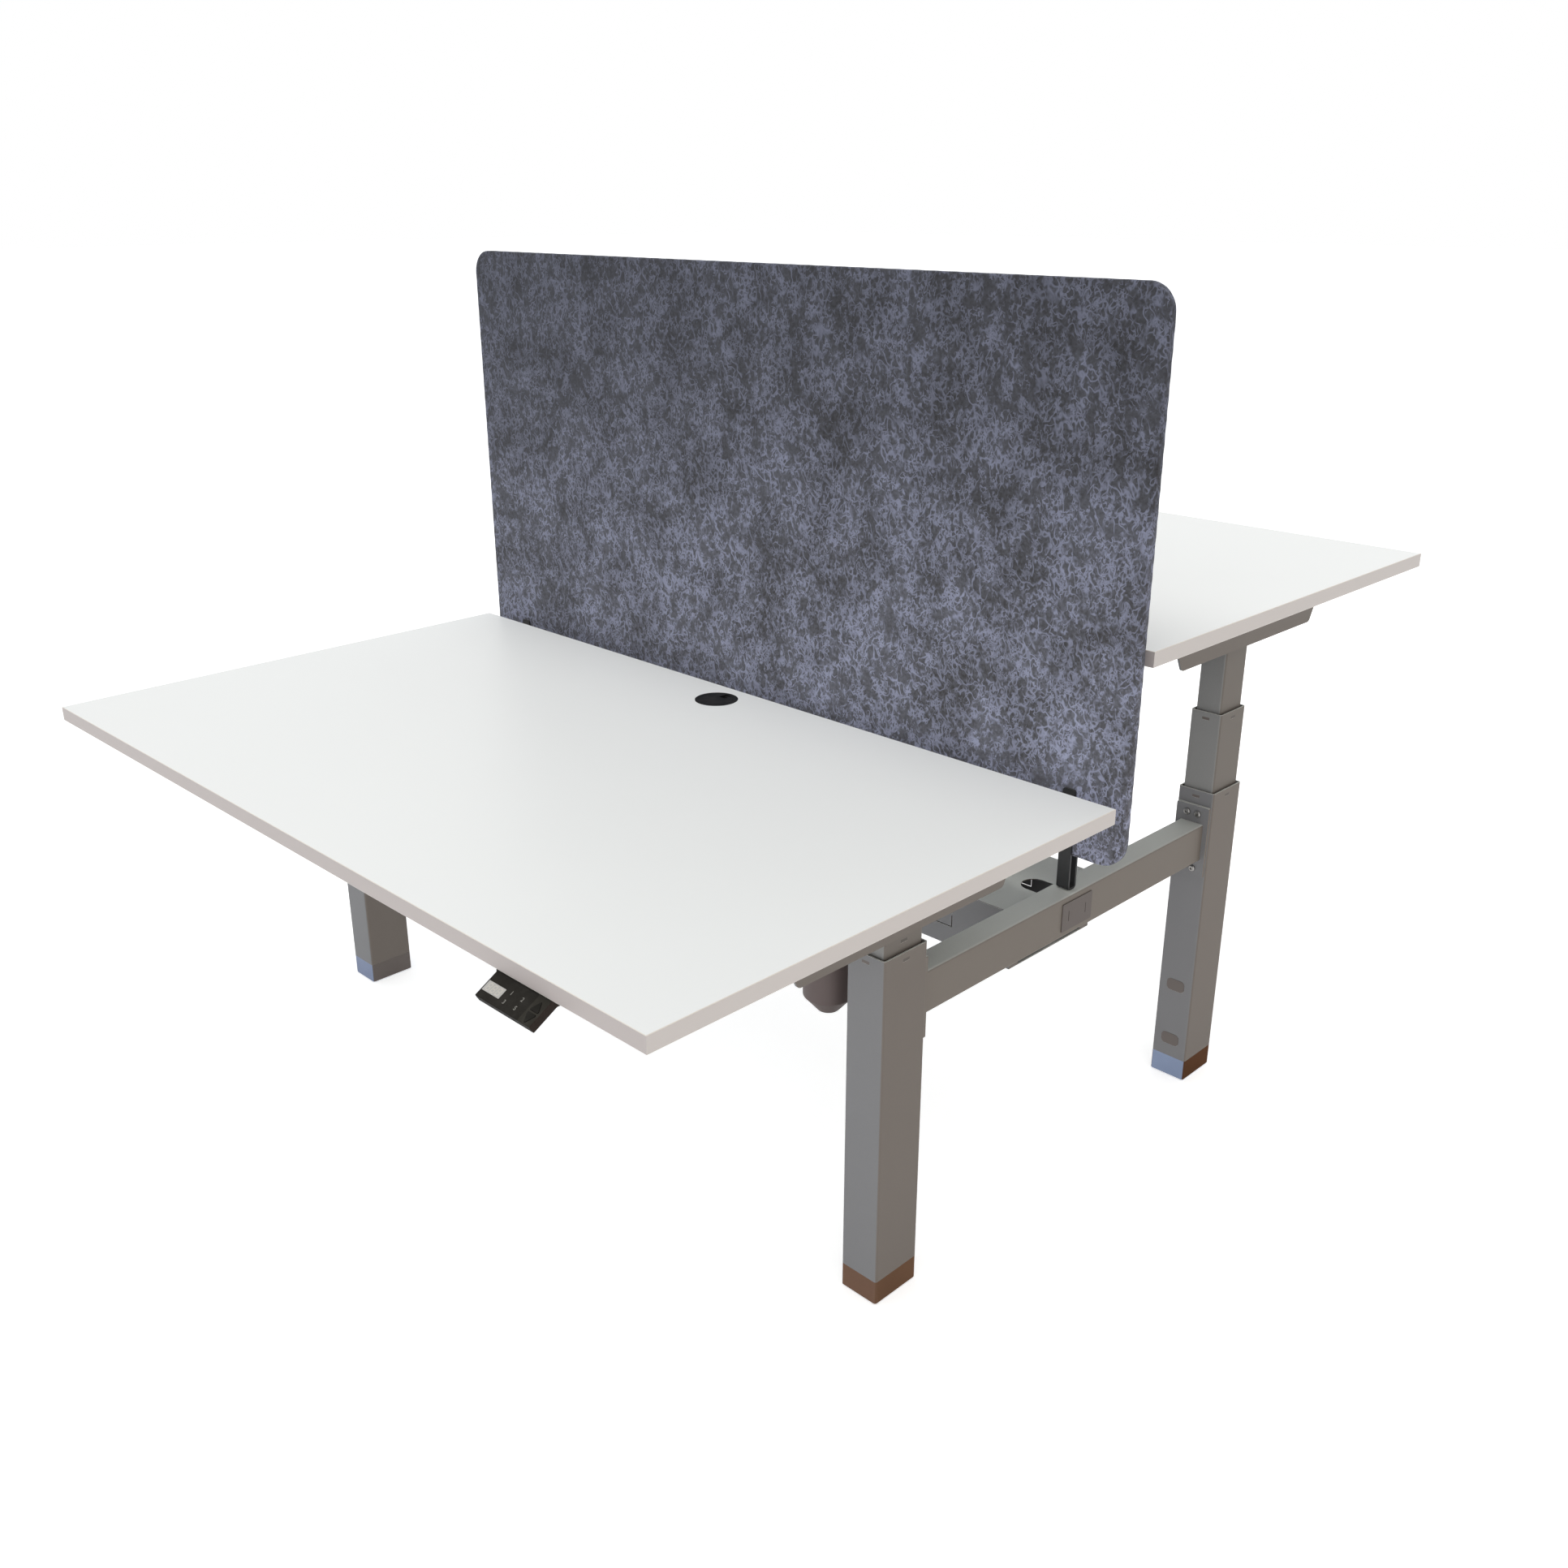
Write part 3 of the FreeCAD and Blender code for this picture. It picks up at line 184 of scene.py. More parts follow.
# %% Fine grain
COARSE_SCALE, FINE_WEIGHT, COARSE_WEIGHT = 0.31, 0.7, 0.3
grain_group, given, out = new_group("fine_grain", {"Grains per metre": 900.0, "Contrast": 0.1}, ["Tone", "Height"])
spot = own_spot(grain_group)
fine = noise(grain_group, spot, given["Grains per metre"], 2.0)[0]
coarse = noise(grain_group, spot, times(grain_group, given["Grains per metre"], COARSE_SCALE), 1.0)[0]
height = math_node(grain_group, "ADD", times(grain_group, fine, FINE_WEIGHT),
                   times(grain_group, coarse, COARSE_WEIGHT))
grain_group.links.new(tone_about_one(grain_group, height, given["Contrast"]), out["Tone"])
grain_group.links.new(height, out["Height"])
print("group", grain_group.name)

# %% [markdown]
# Large sheets and long tubes are never one even tone: coating thickness, handling and cleaning leave soft
# clouds. This is slow noise, kept weak.

# %% Soft clouds of tone
cloud_group, given, out = new_group("soft_clouds", {"Clouds per metre": 5.0, "Contrast": 0.08}, ["Tone"])
slow = noise(cloud_group, own_spot(cloud_group), given["Clouds per metre"], 3.0, 0.55)[0]
cloud_group.links.new(tone_about_one(cloud_group, slow, given["Contrast"]), out["Tone"])
print("group", cloud_group.name)

# %% [markdown]
# Edges that look up get a painted highlight, a lighter line where the light would catch them.
# The Bevel node bends the normal near an edge, so where it differs from the true normal there is an edge. Noise
# breaks the line up.

# %% Painted highlights on edges that look up
BENT, LOOKS_UP, HIGHLIGHT_PATCH = (0.995, 0.80), (0.2, 0.5), (0.25, 0.5)
# This group's mask places a painted highlight on edges that look up.
edge_highlight_group, given, out = new_group("painted_edge_highlight", {"Width": 0.001, "Breakup per metre": 120.0}, ["Mask"])
bent_normal = place(edge_highlight_group, "Bevel", {"Radius": given["Width"]}, samples=4).outputs[0]
same = place(edge_highlight_group, "VectorMath", {0: true_normal(edge_highlight_group), 1: bent_normal},
             operation="DOT_PRODUCT").outputs["Value"]
upper = axes(edge_highlight_group, bent_normal)["Z"]
edge = times(edge_highlight_group, ramp(edge_highlight_group, same, *BENT), ramp(edge_highlight_group, upper, *LOOKS_UP))
patches = noise(edge_highlight_group, own_spot(edge_highlight_group), given["Breakup per metre"], 3.0)[0]
edge_highlight_group.links.new(times(edge_highlight_group, edge, ramp(edge_highlight_group, patches, *HIGHLIGHT_PATCH)), out["Mask"])
print("group", edge_highlight_group.name)

# %% [markdown]
# Dust settles on what faces up and is thickest in patches. It is pale, so it shows on dark plastic and paint.

# %% Settled dust
DUST_FACING, DUST_PATCH, DUST_DRIFTS = (0.2, 0.9), (0.35, 0.75), 45.0
dust_group, given, out = new_group("settled_dust", {"Amount": 0.2}, ["Mask"])
facing = axes(dust_group, true_normal(dust_group))["Z"]
drift = noise(dust_group, own_spot(dust_group), DUST_DRIFTS, 5.0, 0.65)[0]
settled = times(dust_group, ramp(dust_group, facing, *DUST_FACING), ramp(dust_group, drift, *DUST_PATCH))
dust_group.links.new(math_node(dust_group, "MULTIPLY", settled, given["Amount"], clamp=True), out["Mask"])
print("group", dust_group.name)

# %% [markdown]
# The steel's upper faces get painted light, and coats and plating get a darker, warmer painted shade on the bench's
# wide side faces than on the narrow faces towards the users. This stands in for a room's light, which the studio
# here lacks. Masks of which way a face looks let a finish carry such painted light and shade.

# %% Which way a face looks
SIDEWAYS, UPWARDS, DOWNWARDS = (0.35, 0.75), (0.5, 0.95), (-0.2, -0.7)
facing_group, _, out = new_group("facing", {}, ["Sideways", "Up", "Down"])
looks = axes(facing_group, true_normal(facing_group))
either_side = math_node(facing_group, "ABSOLUTE", looks["X"])
facing_group.links.new(ramp(facing_group, either_side, *SIDEWAYS), out["Sideways"])
facing_group.links.new(ramp(facing_group, looks["Z"], *UPWARDS), out["Up"])
facing_group.links.new(ramp(facing_group, looks["Z"], *DOWNWARDS), out["Down"])
print("group", facing_group.name)

# %% [markdown]
# ## The finishes
#
# A finish starts with an empty material, one Principled shader and the plain numbers that are the same all
# over. What varies is linked afterwards.

# %% Start a finish
RELIEF_DEPTH = 0.0003
COAT_CLOUDS = 6.0
# Width, breakup and share of the painted highlight on edges that look up.
HIGHLIGHT_WIDTH, HIGHLIGHT_BREAKUP, HIGHLIGHT_SHARE = 0.0012, 160.0, 0.8
DUST_TINT, DUST_DULLING = tint(196, 192, 186), 0.35


def new_finish(name, **plain):
    """A material with a Principled shader; plain holds its fixed inputs, with _ for a space."""
    material = bpy.data.materials.new(name)
    material.use_nodes = True
    tree = material.node_tree
    shader = tree.nodes["Principled BSDF"]
    for key, given in plain.items():
        shader.inputs[key.replace("_", " ")].default_value = given
    return material, tree, shader


def use_group(tree, group, **values):
    """Place a node group; gives its outputs."""
    node = place(tree, "Group", node_tree=group)
    for key, given in values.items():
        node.inputs[key.replace("_", " ")].default_value = given
    return node.outputs


def bump(tree, shader, height, strength, distance=RELIEF_DEPTH):
    """Give a shader its small relief."""
    relief = place(tree, "Bump", {"Height": height, "Strength": strength, "Distance": distance})
    tree.links.new(relief.outputs[0], shader.inputs["Normal"])


def coat_finish(name, colour, rough, grains=900.0, highlight_tint=None, dust=0.15, relief=0.12, painted_light_by_facing=None, **plain):
    """A painted or moulded surface: grain, tone clouds, dust, a painted edge highlight, painted light by facing."""
    material, tree, shader = new_finish(name, **plain)
    # Colours by facing are painted light and shade on faces that look sideways, up or down.
    if painted_light_by_facing:
        facing = use_group(tree, facing_group)
        for way, painted_light_tone in painted_light_by_facing.items():
            colour = blend_colour(tree, facing[way], colour, painted_light_tone)
    grain = use_group(tree, grain_group, Grains_per_metre=grains, Contrast=0.12)
    cloud = use_group(tree, cloud_group, Clouds_per_metre=COAT_CLOUDS, Contrast=0.08)
    tone = times(tree, grain["Tone"], cloud["Tone"])
    shade = shade_by(tree, colour, tone)
    # The edge colour is a painted highlight on edges that look up.
    if highlight_tint:
        edges = use_group(tree, edge_highlight_group, Width=HIGHLIGHT_WIDTH, Breakup_per_metre=HIGHLIGHT_BREAKUP)["Mask"]
        shade = blend_colour(tree, times(tree, edges, HIGHLIGHT_SHARE), shade, highlight_tint)
    settled = use_group(tree, dust_group, Amount=dust)["Mask"]
    tree.links.new(blend_colour(tree, settled, shade, DUST_TINT), shader.inputs["Base Color"])
    duller = times(tree, settled, DUST_DULLING)
    tree.links.new(math_node(tree, "ADD", times(tree, tone, rough), duller, clamp=True),
                   shader.inputs["Roughness"])
    bump(tree, shader, grain["Height"], relief)
    return material, tree, shader


def clouded_finish(name, colour, clouds, contrast, **plain):
    """A plain surface whose colour only has clouds of tone."""
    material, tree, shader = new_finish(name, **plain)
    cloud = use_group(tree, cloud_group, Clouds_per_metre=clouds, Contrast=contrast)
    tree.links.new(shade_by(tree, colour, cloud["Tone"]), shader.inputs["Base Color"])
    return material


print("finish helpers ready")

# %% [markdown]
# Columns, beams, tray and brackets have a silver-grey powder coat. Up close it is a fine orange peel with metal
# flakes. A little Metallic gives the flakes' soft reflection without turning the tubes into mirrors. The tubes
# that slide are set a shade paler in front and the beams a shade paler at the sides, because the studio's light
# leaves them darker there than they are in the photo.

# %% Powder coats
# The side tone is painted shade and the top tone is painted light.
SILVER, SILVER_SIDE_PAINTED_SHADE, SILVER_TOP_PAINTED_LIGHT = tint(125, 125, 127), tint(112, 105, 99), tint(200, 203, 199)
STATIONS = ("front", "rear")


def silver_coat(name, front, painted_side_shade):
    """The frame's coat: its front tone, painted shade at the sides, painted light on top, painted edge highlights.
    """
    return coat_finish(name, front, 0.55, highlight_tint=tint(206, 204, 196), dust=0.1, Metallic=0.08,
                       Specular_IOR_Level=0.25, painted_light_by_facing={"Sideways": painted_side_shade, "Up": SILVER_TOP_PAINTED_LIGHT})[0]


finishes = {"frame_paint": silver_coat("silver_powder_coat", SILVER, SILVER_SIDE_PAINTED_SHADE)}
own_coats = {"side_beams": silver_coat("beam_coat", SILVER, tint(116, 109, 102))}
sliding_coat = silver_coat("sliding_tube_coat", tint(140, 140, 139), tint(111, 105, 99))
for station in STATIONS:
    for side in ("left", "right"):
        for stage in ("middle", "inner"):
            own_coats["%s_%s_tube_%s" % (station, stage, side)] = sliding_coat
# The cover and the black coat also get a painted highlight on edges that look up.
finishes["cover_paint"] = coat_finish("cover_powder_coat", tint(99, 92, 89), 0.55, highlight_tint=tint(96, 92, 88),
                                      dust=0.1, Metallic=0.08, Specular_IOR_Level=0.25)[0]
finishes["black_paint"] = coat_finish("black_powder_coat", tint(47, 48, 49), 0.45, highlight_tint=tint(80, 80, 80),
                                      dust=0.08, Specular_IOR_Level=0.3)[0]
# The motor shell is painted darker on faces that look down: painted shade.
finishes["motor_shell"] = coat_finish("motor_shell_coat", tint(101, 91, 90), 0.5, highlight_tint=tint(124, 115, 111),
                                      dust=0.1, painted_light_by_facing={"Down": tint(80, 68, 65)}, Metallic=0.1,
                                      Specular_IOR_Level=0.15)[0]
print("coats:", len(finishes))

# %% [markdown]
# The plastics are moulded with a finely etched skin. The handset's right part, with the two keys, is a shade
# lighter than its left part, and both handsets lie equally far from the bench's middle, so the distance from the
# middle tells where the lighter part begins. The keys are as dark as the left part.

# %% Moulded plastics
KEY_FIELD, KEY_FIELD_GAIN = 0.5294, (1.6, 1.63, 1.57, 1.0)
handset_skin = {"grains": 2600.0, "dust": 0.02, "relief": 0.15, "Specular_IOR_Level": 0.04}
# The brown-grey plastic is painted darker on faces that look sideways: painted shade.
finishes["brown_plastic"] = coat_finish("brown_grey_plastic", tint(100, 92, 88), 0.55, grains=1600.0, dust=0.05,
                                        painted_light_by_facing={"Sideways": tint(78, 72, 66)})[0]
finishes["black_plastic"] = coat_finish("black_moulded_plastic", tint(22, 22, 23), 0.5, grains=1500.0, dust=0.03,
                                        relief=0.2, Specular_IOR_Level=0.15)[0]
finishes["foot_plastic"] = coat_finish("foot_plastic", tint(84, 84, 86), 0.5, grains=1200.0, dust=0.05)[0]
# The handset gets painted shade: warmer and darker on faces that look sideways, much darker on faces that look
# down.
handset, tree, shader = coat_finish("handset_plastic", tint(38, 36, 33), 0.55, **handset_skin,
                                    painted_light_by_facing={"Sideways": tint(37, 31, 29), "Down": tint(15, 12, 11)})
off_middle = math_node(tree, "ABSOLUTE", axes(tree, own_spot(tree))["X"])
in_field = math_node(tree, "GREATER_THAN", off_middle, KEY_FIELD)
plain_shade = shader.inputs["Base Color"].links[0].from_socket
paler = shade_by(tree, plain_shade, KEY_FIELD_GAIN)
tree.links.new(blend_colour(tree, in_field, plain_shade, paler), shader.inputs["Base Color"])
finishes["handset_plastic"] = handset
key_plastic = coat_finish("key_plastic", tint(33, 32, 29), 0.55, **handset_skin)[0]
for station in STATIONS:
    for key in ("up_key", "down_key"):
        own_coats["%s_%s" % (station, key)] = key_plastic
print("plastics done, key field from", KEY_FIELD)

# %% [markdown]
# The end caps are chromed, and their colour is a painted reflection of a room: the narrow faces have a cool cast
# and the wide faces a bronze-coloured one, greyer on the left, and on one diagonal of the bench both are
# bronze-coloured. The studio has no such room, so the face's own direction and the cap's own place pick the painted
# reflection, and it stays on the cap from every side.

# %% Bright metals
ON_DIAGONAL, FRONT_TO_REAR, LEFT_TO_RIGHT = (0.5, 0.8), (-0.3, 0.3), (-0.5, 0.5)
chrome, tree, shader = new_finish("end_cap_chrome", Metallic=1.0, Roughness=0.12,
                                  Specular_Tint=tint(205, 196, 190))
wide_face = use_group(tree, facing_group)["Sideways"]
where = axes(tree, own_spot(tree))
diagonal = math_node(tree, "ABSOLUTE", math_node(tree, "SUBTRACT", where["X"], where["Y"]))
# The base colour here is a painted reflection, picked by facing and by the cap's place.
narrow_face_painted_reflection = blend_colour(tree, ramp(tree, diagonal, *ON_DIAGONAL), tint(124, 136, 160), tint(108, 85, 72))
warm_painted_reflection = blend_colour(tree, ramp(tree, where["Y"], *FRONT_TO_REAR), tint(98, 75, 60), tint(77, 53, 40))
wide_face_painted_reflection = blend_colour(tree, ramp(tree, where["X"], *LEFT_TO_RIGHT), tint(93, 87, 84), warm_painted_reflection)
painted_light_tone = blend_colour(tree, wide_face, narrow_face_painted_reflection, wide_face_painted_reflection)
cloud = use_group(tree, cloud_group, Clouds_per_metre=14.0, Contrast=0.25)
tree.links.new(shade_by(tree, painted_light_tone, cloud["Tone"]), shader.inputs["Base Color"])
grain = use_group(tree, grain_group, Grains_per_metre=400.0, Contrast=0.1)
bump(tree, shader, grain["Height"], 0.03)
finishes["cap_chrome"] = chrome

finishes["bolt_chrome"] = coat_finish("bright_zinc", tint(150, 148, 146), 0.3, grains=1800.0, dust=0.0,
                                      relief=0.05, Metallic=1.0)[0]
finishes["bright_steel"] = coat_finish("drawn_steel", tint(178, 178, 180), 0.32, grains=700.0, dust=0.0,
                                       relief=0.05, Metallic=1.0)[0]
print("metals done")

# %% [markdown]
# The desktops are chipboard with a white melamine face, finely pearled, and a matching edge band. The band is a
# shade warmer than the face. It gets painted shade, darker on the faces towards the users than on those at the
# sides, and its rounded arris gets a painted cream highlight. Where a face looks up or down it is melamine, and
# elsewhere it is band.

# %% White board
IS_FACE, ARRIS_HIGHLIGHT_SPAN, BOARD_ROUGH = (0.9, 0.99), (0.15, 0.4), 0.42
board, tree, shader = new_finish("white_melamine", Specular_IOR_Level=0.35)
flat = math_node(tree, "ABSOLUTE", axes(tree, true_normal(tree))["Z"])
face_share = ramp(tree, flat, *IS_FACE)
arris_highlight_share = times(tree, ramp(tree, flat, *ARRIS_HIGHLIGHT_SPAN), math_node(tree, "SUBTRACT", 1.0, face_share))
pearl = use_group(tree, grain_group, Grains_per_metre=1100.0, Contrast=0.02)
cloud = use_group(tree, cloud_group, Clouds_per_metre=3.0, Contrast=0.02)
face = shade_by(tree, tint(238, 240, 240), times(tree, pearl["Tone"], cloud["Tone"]))
# The band's two tones by facing are painted shade, darker on faces towards the users.
sideways = use_group(tree, facing_group)["Sideways"]
band = shade_by(tree, blend_colour(tree, sideways, tint(184, 176, 174), tint(202, 196, 193)), cloud["Tone"])
shade = blend_colour(tree, face_share, band, face)
# The arris colour is a painted cream highlight.
tree.links.new(blend_colour(tree, arris_highlight_share, shade, tint(226, 221, 213)), shader.inputs["Base Color"])
tree.links.new(times(tree, pearl["Tone"], BOARD_ROUGH), shader.inputs["Roughness"])
bump(tree, shader, pearl["Height"], 0.08)
finishes["white_board"] = board
print("board done")

# %% [markdown]
# ## Felt
#
# The screen is pressed polyester felt: dark blue-grey fibre with paler threads lying every way in it, denser in
# some places than in others. A picture of felt would be the usual way. Here the threads are drawn by nodes: a
# contour line of a noise field is a thin curly line, so three fields at different sizes, cut into pieces by a
# slower field, look like threads. The thread layer is a group, because it is used three times. The felt's colour is
# painted paler towards its foot and its right end, and darker towards its top: painted light and shade.

# %% A layer of threads
THREAD_STRETCH, THREAD_BEND, PIECES_SCALE, PIECE_ENDS = (0.85, 1.0, 0.62), 0.009, 0.55, (0.42, 0.6)
thread_group, given, out = new_group(
    "felt_threads", {"Threads per metre": 90.0, "Thread width": 0.03, "Lean": 0.0}, ["Mask"])
leaned = place(thread_group, "VectorRotate", {"Vector": own_spot(thread_group), "Axis": (0, 1, 0),
                                              "Angle": given["Lean"]}).outputs[0]
drawn = place(thread_group, "VectorMath", {0: leaned, 1: THREAD_STRETCH}, operation="MULTIPLY").outputs[0]
bend = noise(thread_group, drawn, given["Threads per metre"], 1.0)["Color"]
push = place(thread_group, "VectorMath", {0: bend, 1: (THREAD_BEND,) * 3}, operation="MULTIPLY").outputs[0]
bent = place(thread_group, "VectorMath", {0: drawn, 1: push}, operation="ADD").outputs[0]
field = noise(thread_group, bent, given["Threads per metre"], 1.5)[0]
off_line = math_node(thread_group, "ABSOLUTE", math_node(thread_group, "SUBTRACT", field, MID_NOISE))
line = ramp(thread_group, off_line, given["Thread width"], 0.0)
pieces = noise(thread_group, drawn, times(thread_group, given["Threads per metre"], PIECES_SCALE), 2.0)[0]
thread_group.links.new(times(thread_group, line, ramp(thread_group, pieces, *PIECE_ENDS)), out["Mask"])
print("group", thread_group.name)

# %% The felt itself
SCREEN_LOW, SCREEN_HIGH = (corner.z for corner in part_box("screen_panel"))
PAINTED_LIGHT_LOW, PAINTED_LIGHT_HIGH = 1.40, 0.535
PAINTED_LIGHT_ALONG = (-0.7, 0.4, 0.83, 1.03)
DRIFT_WEIGHT, MOTTLE_WEIGHT = 0.55, 0.45
LAYERS = ((72.0, 0.055, 0.5), (115.0, 0.075, -0.45), (175.0, 0.095, 0.1))
felt, tree, shader = new_finish("pressed_felt", Roughness=0.95, Specular_IOR_Level=0.15, Sheen_Weight=0.25,
                                Sheen_Roughness=0.6, Sheen_Tint=tint(190, 196, 215))
spot = own_spot(tree)
drift = noise(tree, spot, 9.0, 5.0, 0.62)[0]
mottle = noise(tree, spot, 190.0, 3.0, 0.6)[0]
dense = math_node(tree, "ADD", times(tree, ramp(tree, drift, 0.33, 0.67), DRIFT_WEIGHT),
                  times(tree, ramp(tree, mottle, 0.3, 0.7), MOTTLE_WEIGHT))
ground = blend_colour(tree, dense, tint(52, 50, 49), tint(94, 95, 103))
threads = [use_group(tree, thread_group, Threads_per_metre=count, Thread_width=width, Lean=lean)["Mask"]
           for count, width, lean in LAYERS]
weight = math_node(tree, "MAXIMUM", math_node(tree, "MAXIMUM", threads[0], threads[1]), threads[2])
shown = times(tree, weight, ramp(tree, drift, 0.3, 0.7, 0.45, 1.0))
fibre = blend_colour(tree, shown, ground, tint(143, 147, 170))
along = axes(tree, spot)
# A painted light gradient: paler towards the foot and the right end, darker towards the top.
painted_light_gradient = times(tree, ramp(tree, along["Z"], SCREEN_LOW, SCREEN_HIGH, PAINTED_LIGHT_LOW, PAINTED_LIGHT_HIGH),
             ramp(tree, along["X"], *PAINTED_LIGHT_ALONG))
tree.links.new(shade_by(tree, fibre, painted_light_gradient), shader.inputs["Base Color"])
fuzz = math_node(tree, "ADD", times(tree, weight, 0.6), mottle)
bump(tree, shader, fuzz, 0.35, 0.0008)
finishes["felt"] = felt
print("felt done")

# %% [markdown]
# The display is a clear window over a pale panel, so it has a smooth glossy coat over a light grey.

# %% Display window
finishes["display"] = clouded_finish("display_window", tint(174, 172, 169), 60.0, 0.06, Roughness=0.3,
                                     Coat_Weight=0.4, Coat_Roughness=0.08)
print("finishes:", sorted(finishes))

# %% [markdown]
# ## Dressing the CAD pieces
#
# The record names a material slot for each CAD node, so one loop gives every node its finish, or its own coat.

# %% Put the finishes on
slots = {row["node"]: row["material_slot"] for row in frame["record"]["subparts"]}
for name, node in frame["nodes"].items():
    node.data.materials.clear()
    node.data.materials.append(own_coats.get(name, finishes[slots[name]]))
print("dressed", len(slots), "nodes,", len(own_coats), "in a coat of their own")

# %% [markdown]
# ## The felt screen
#
# The CAD screen is a plain slab. Felt is cut with a hot wire or a blade and its edges are soft, so the screen is
# built again as a set of rings: the outline is a rectangle with rounded corners, and each ring follows the
# edge's rounding from one face to the other. A little unevenness along the outline makes it a cut fabric edge
# and not a machined one.

# %% Build the screen
SCREEN_CORNER, SCREEN_ROUNDING, OUTLINE_STEP = 0.037, 0.0018, 0.006
WOBBLE, WAVES_ALONG, WAVES_UP = 0.00025, 190, 230
ROUNDING_ANGLES = (90, 60, 30, 0)


def rounded_outline(left, right, low, high, radius, step):
    """Points along a rectangle with rounded corners, with the outward direction at each, a step apart."""
    corners = ((right - radius, high - radius, 0), (left + radius, high - radius, 90),
               (left + radius, low + radius, 180), (right - radius, low + radius, 270))
    points = []
    for i, (x, z, start) in enumerate(corners):
        turns = max(6, round(radius * math.pi / 2 / step))
        for t in range(turns + 1):
            angle = math.radians(start + 90 * t / turns)
            out = Vector((math.cos(angle), 0, math.sin(angle)))
            points.append((Vector((x, 0, z)) + radius * out, out))
        last = points[-1][0]
        next_x, next_z, _ = corners[(i + 1) % 4]
        following = Vector((next_x, 0, next_z)) + radius * out
        count = round((following - last).length / step)
        points += [(last.lerp(following, k / count), out) for k in range(1, count)]
    return points


def mesh_data(name, mesh):
    """Turn a finished bmesh into mesh data, with its faces looking outwards."""
    bmesh.ops.recalc_face_normals(mesh, faces=mesh.faces)
    data = bpy.data.meshes.new(name)
    mesh.to_mesh(data)
    mesh.free()
    return data


def soft_slab(name, points, thickness, rounding):
    """A slab with rounded edges, made of rings that go round the outline."""
    mesh = bmesh.new()
    turns = [math.radians(angle) for angle in ROUNDING_ANGLES]
    profile = [(rounding * (1 - math.cos(a)), rounding * (1 - math.sin(a))) for a in turns]
    rows = [(inset, -thickness / 2 + depth) for inset, depth in profile]
    rows += [(inset, -depth) for inset, depth in reversed(rows)]
    rings = []
    for inset, depth in rows:
        ring = []
        for place_at, out in points:
            wobble = WOBBLE * math.sin(place_at.x * WAVES_ALONG) * math.sin(place_at.z * WAVES_UP + 1)
            ring.append(mesh.verts.new(place_at - out * (inset - wobble) + Vector((0, depth, 0))))
        rings.append(ring)
    count = len(points)
    for below, above in zip(rings, rings[1:]):
        for i in range(count):
            mesh.faces.new((below[i], below[(i + 1) % count], above[(i + 1) % count], above[i]))
    mesh.faces.new(rings[0])
    mesh.faces.new(list(reversed(rings[-1])))
    data = mesh_data(name, mesh)
    for polygon in data.polygons:
        polygon.use_smooth = len(polygon.vertices) == 4
    return data


def add_piece(name, data, finish, body):
    """Put a new piece in the scene, on its body."""
    piece = bpy.data.objects.new(name, data)
    bpy.context.scene.collection.objects.link(piece)
    data.materials.append(finish)
    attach(piece, body)
    return piece


low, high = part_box("screen_panel")
outline = rounded_outline(low.x, high.x, low.z, high.z, SCREEN_CORNER, OUTLINE_STEP)
slab = soft_slab("felt_screen", outline, high.y - low.y, SCREEN_ROUNDING)
screen = add_piece("felt_screen", slab, felt, "frame")
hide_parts("screen_panel")
print("screen:", len(screen.data.vertices), "points,", [round(d, 3) for d in screen.dimensions], "m")

# %% [markdown]
# ## Marks on the handsets
#
# The face of a handset slopes down from the desk's front edge. A small frame of reference on that face, u to the
# right and v down the slope, lets the printed marks be placed as on a drawing. The rear handset is the front one
# turned half round, so the same marks are made twice. Marks stand a twentieth of a millimetre off the face, as
# ink does.

# %% The face of a handset
FACE_RUN, FACE_FALL, BROW_DROP = 0.0294, 0.017, 0.002
INK = 0.00005


def face_matrix(station):
    """From u, v and height off the face, in metres, to the bench."""
    case_low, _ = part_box("front_handset_case")
    desk_low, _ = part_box("front_desktop")
    origin = Vector((case_low.x, desk_low.y, desk_low.z - BROW_DROP))
    across, down = Vector((1, 0, 0)), Vector((0, -FACE_RUN, -FACE_FALL)) / math.hypot(FACE_RUN, FACE_FALL)
    up = across.cross(-down)
    matrix = Matrix.Translation(origin) @ Matrix((across, -down, up)).transposed().to_4x4()
    if station == "rear":
        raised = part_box("rear_desktop")[0].z - desk_low.z
        matrix = Matrix.Translation((0, 0, raised)) @ Matrix.Rotation(math.pi, 4, "Z") @ matrix
    return matrix


for station in STATIONS:
    print(station, "handset starts at", [round(c, 4) for c in face_matrix(station).translation])

# %% [markdown]
# The numbers of the memory keys are type, so Blender's own font makes them. A text object stays editable, but a
# mesh can be exported everywhere, so each is turned into one.

# %% Printed numbers
LETTER_SIZE, LETTER_SPREAD = 0.0072, 0.00006
LEGENDS = {"one": ("1", 0.0420, 0.0127), "two": ("2", 0.0610, 0.0129), "three": ("3", 0.0419, 0.0246),
           "store": ("S", 0.0612, 0.0244)}
ink, tree, shader = new_finish("grey_ink", Roughness=0.6)
grain = use_group(tree, grain_group, Grains_per_metre=3000.0, Contrast=0.15)
tree.links.new(shade_by(tree, tint(130, 128, 123), grain["Tone"]), shader.inputs["Base Color"])


def type_mesh(name, text):
    """One character, centred, as a flat mesh."""
    curve = bpy.data.curves.new(name, "FONT")
    curve.body, curve.size, curve.offset = text, LETTER_SIZE, LETTER_SPREAD
    curve.align_x, curve.align_y = "CENTER", "CENTER"
    holder = bpy.data.objects.new(name, curve)
    data = bpy.data.meshes.new_from_object(holder)
    bpy.data.objects.remove(holder)
    data.name = name
    return data


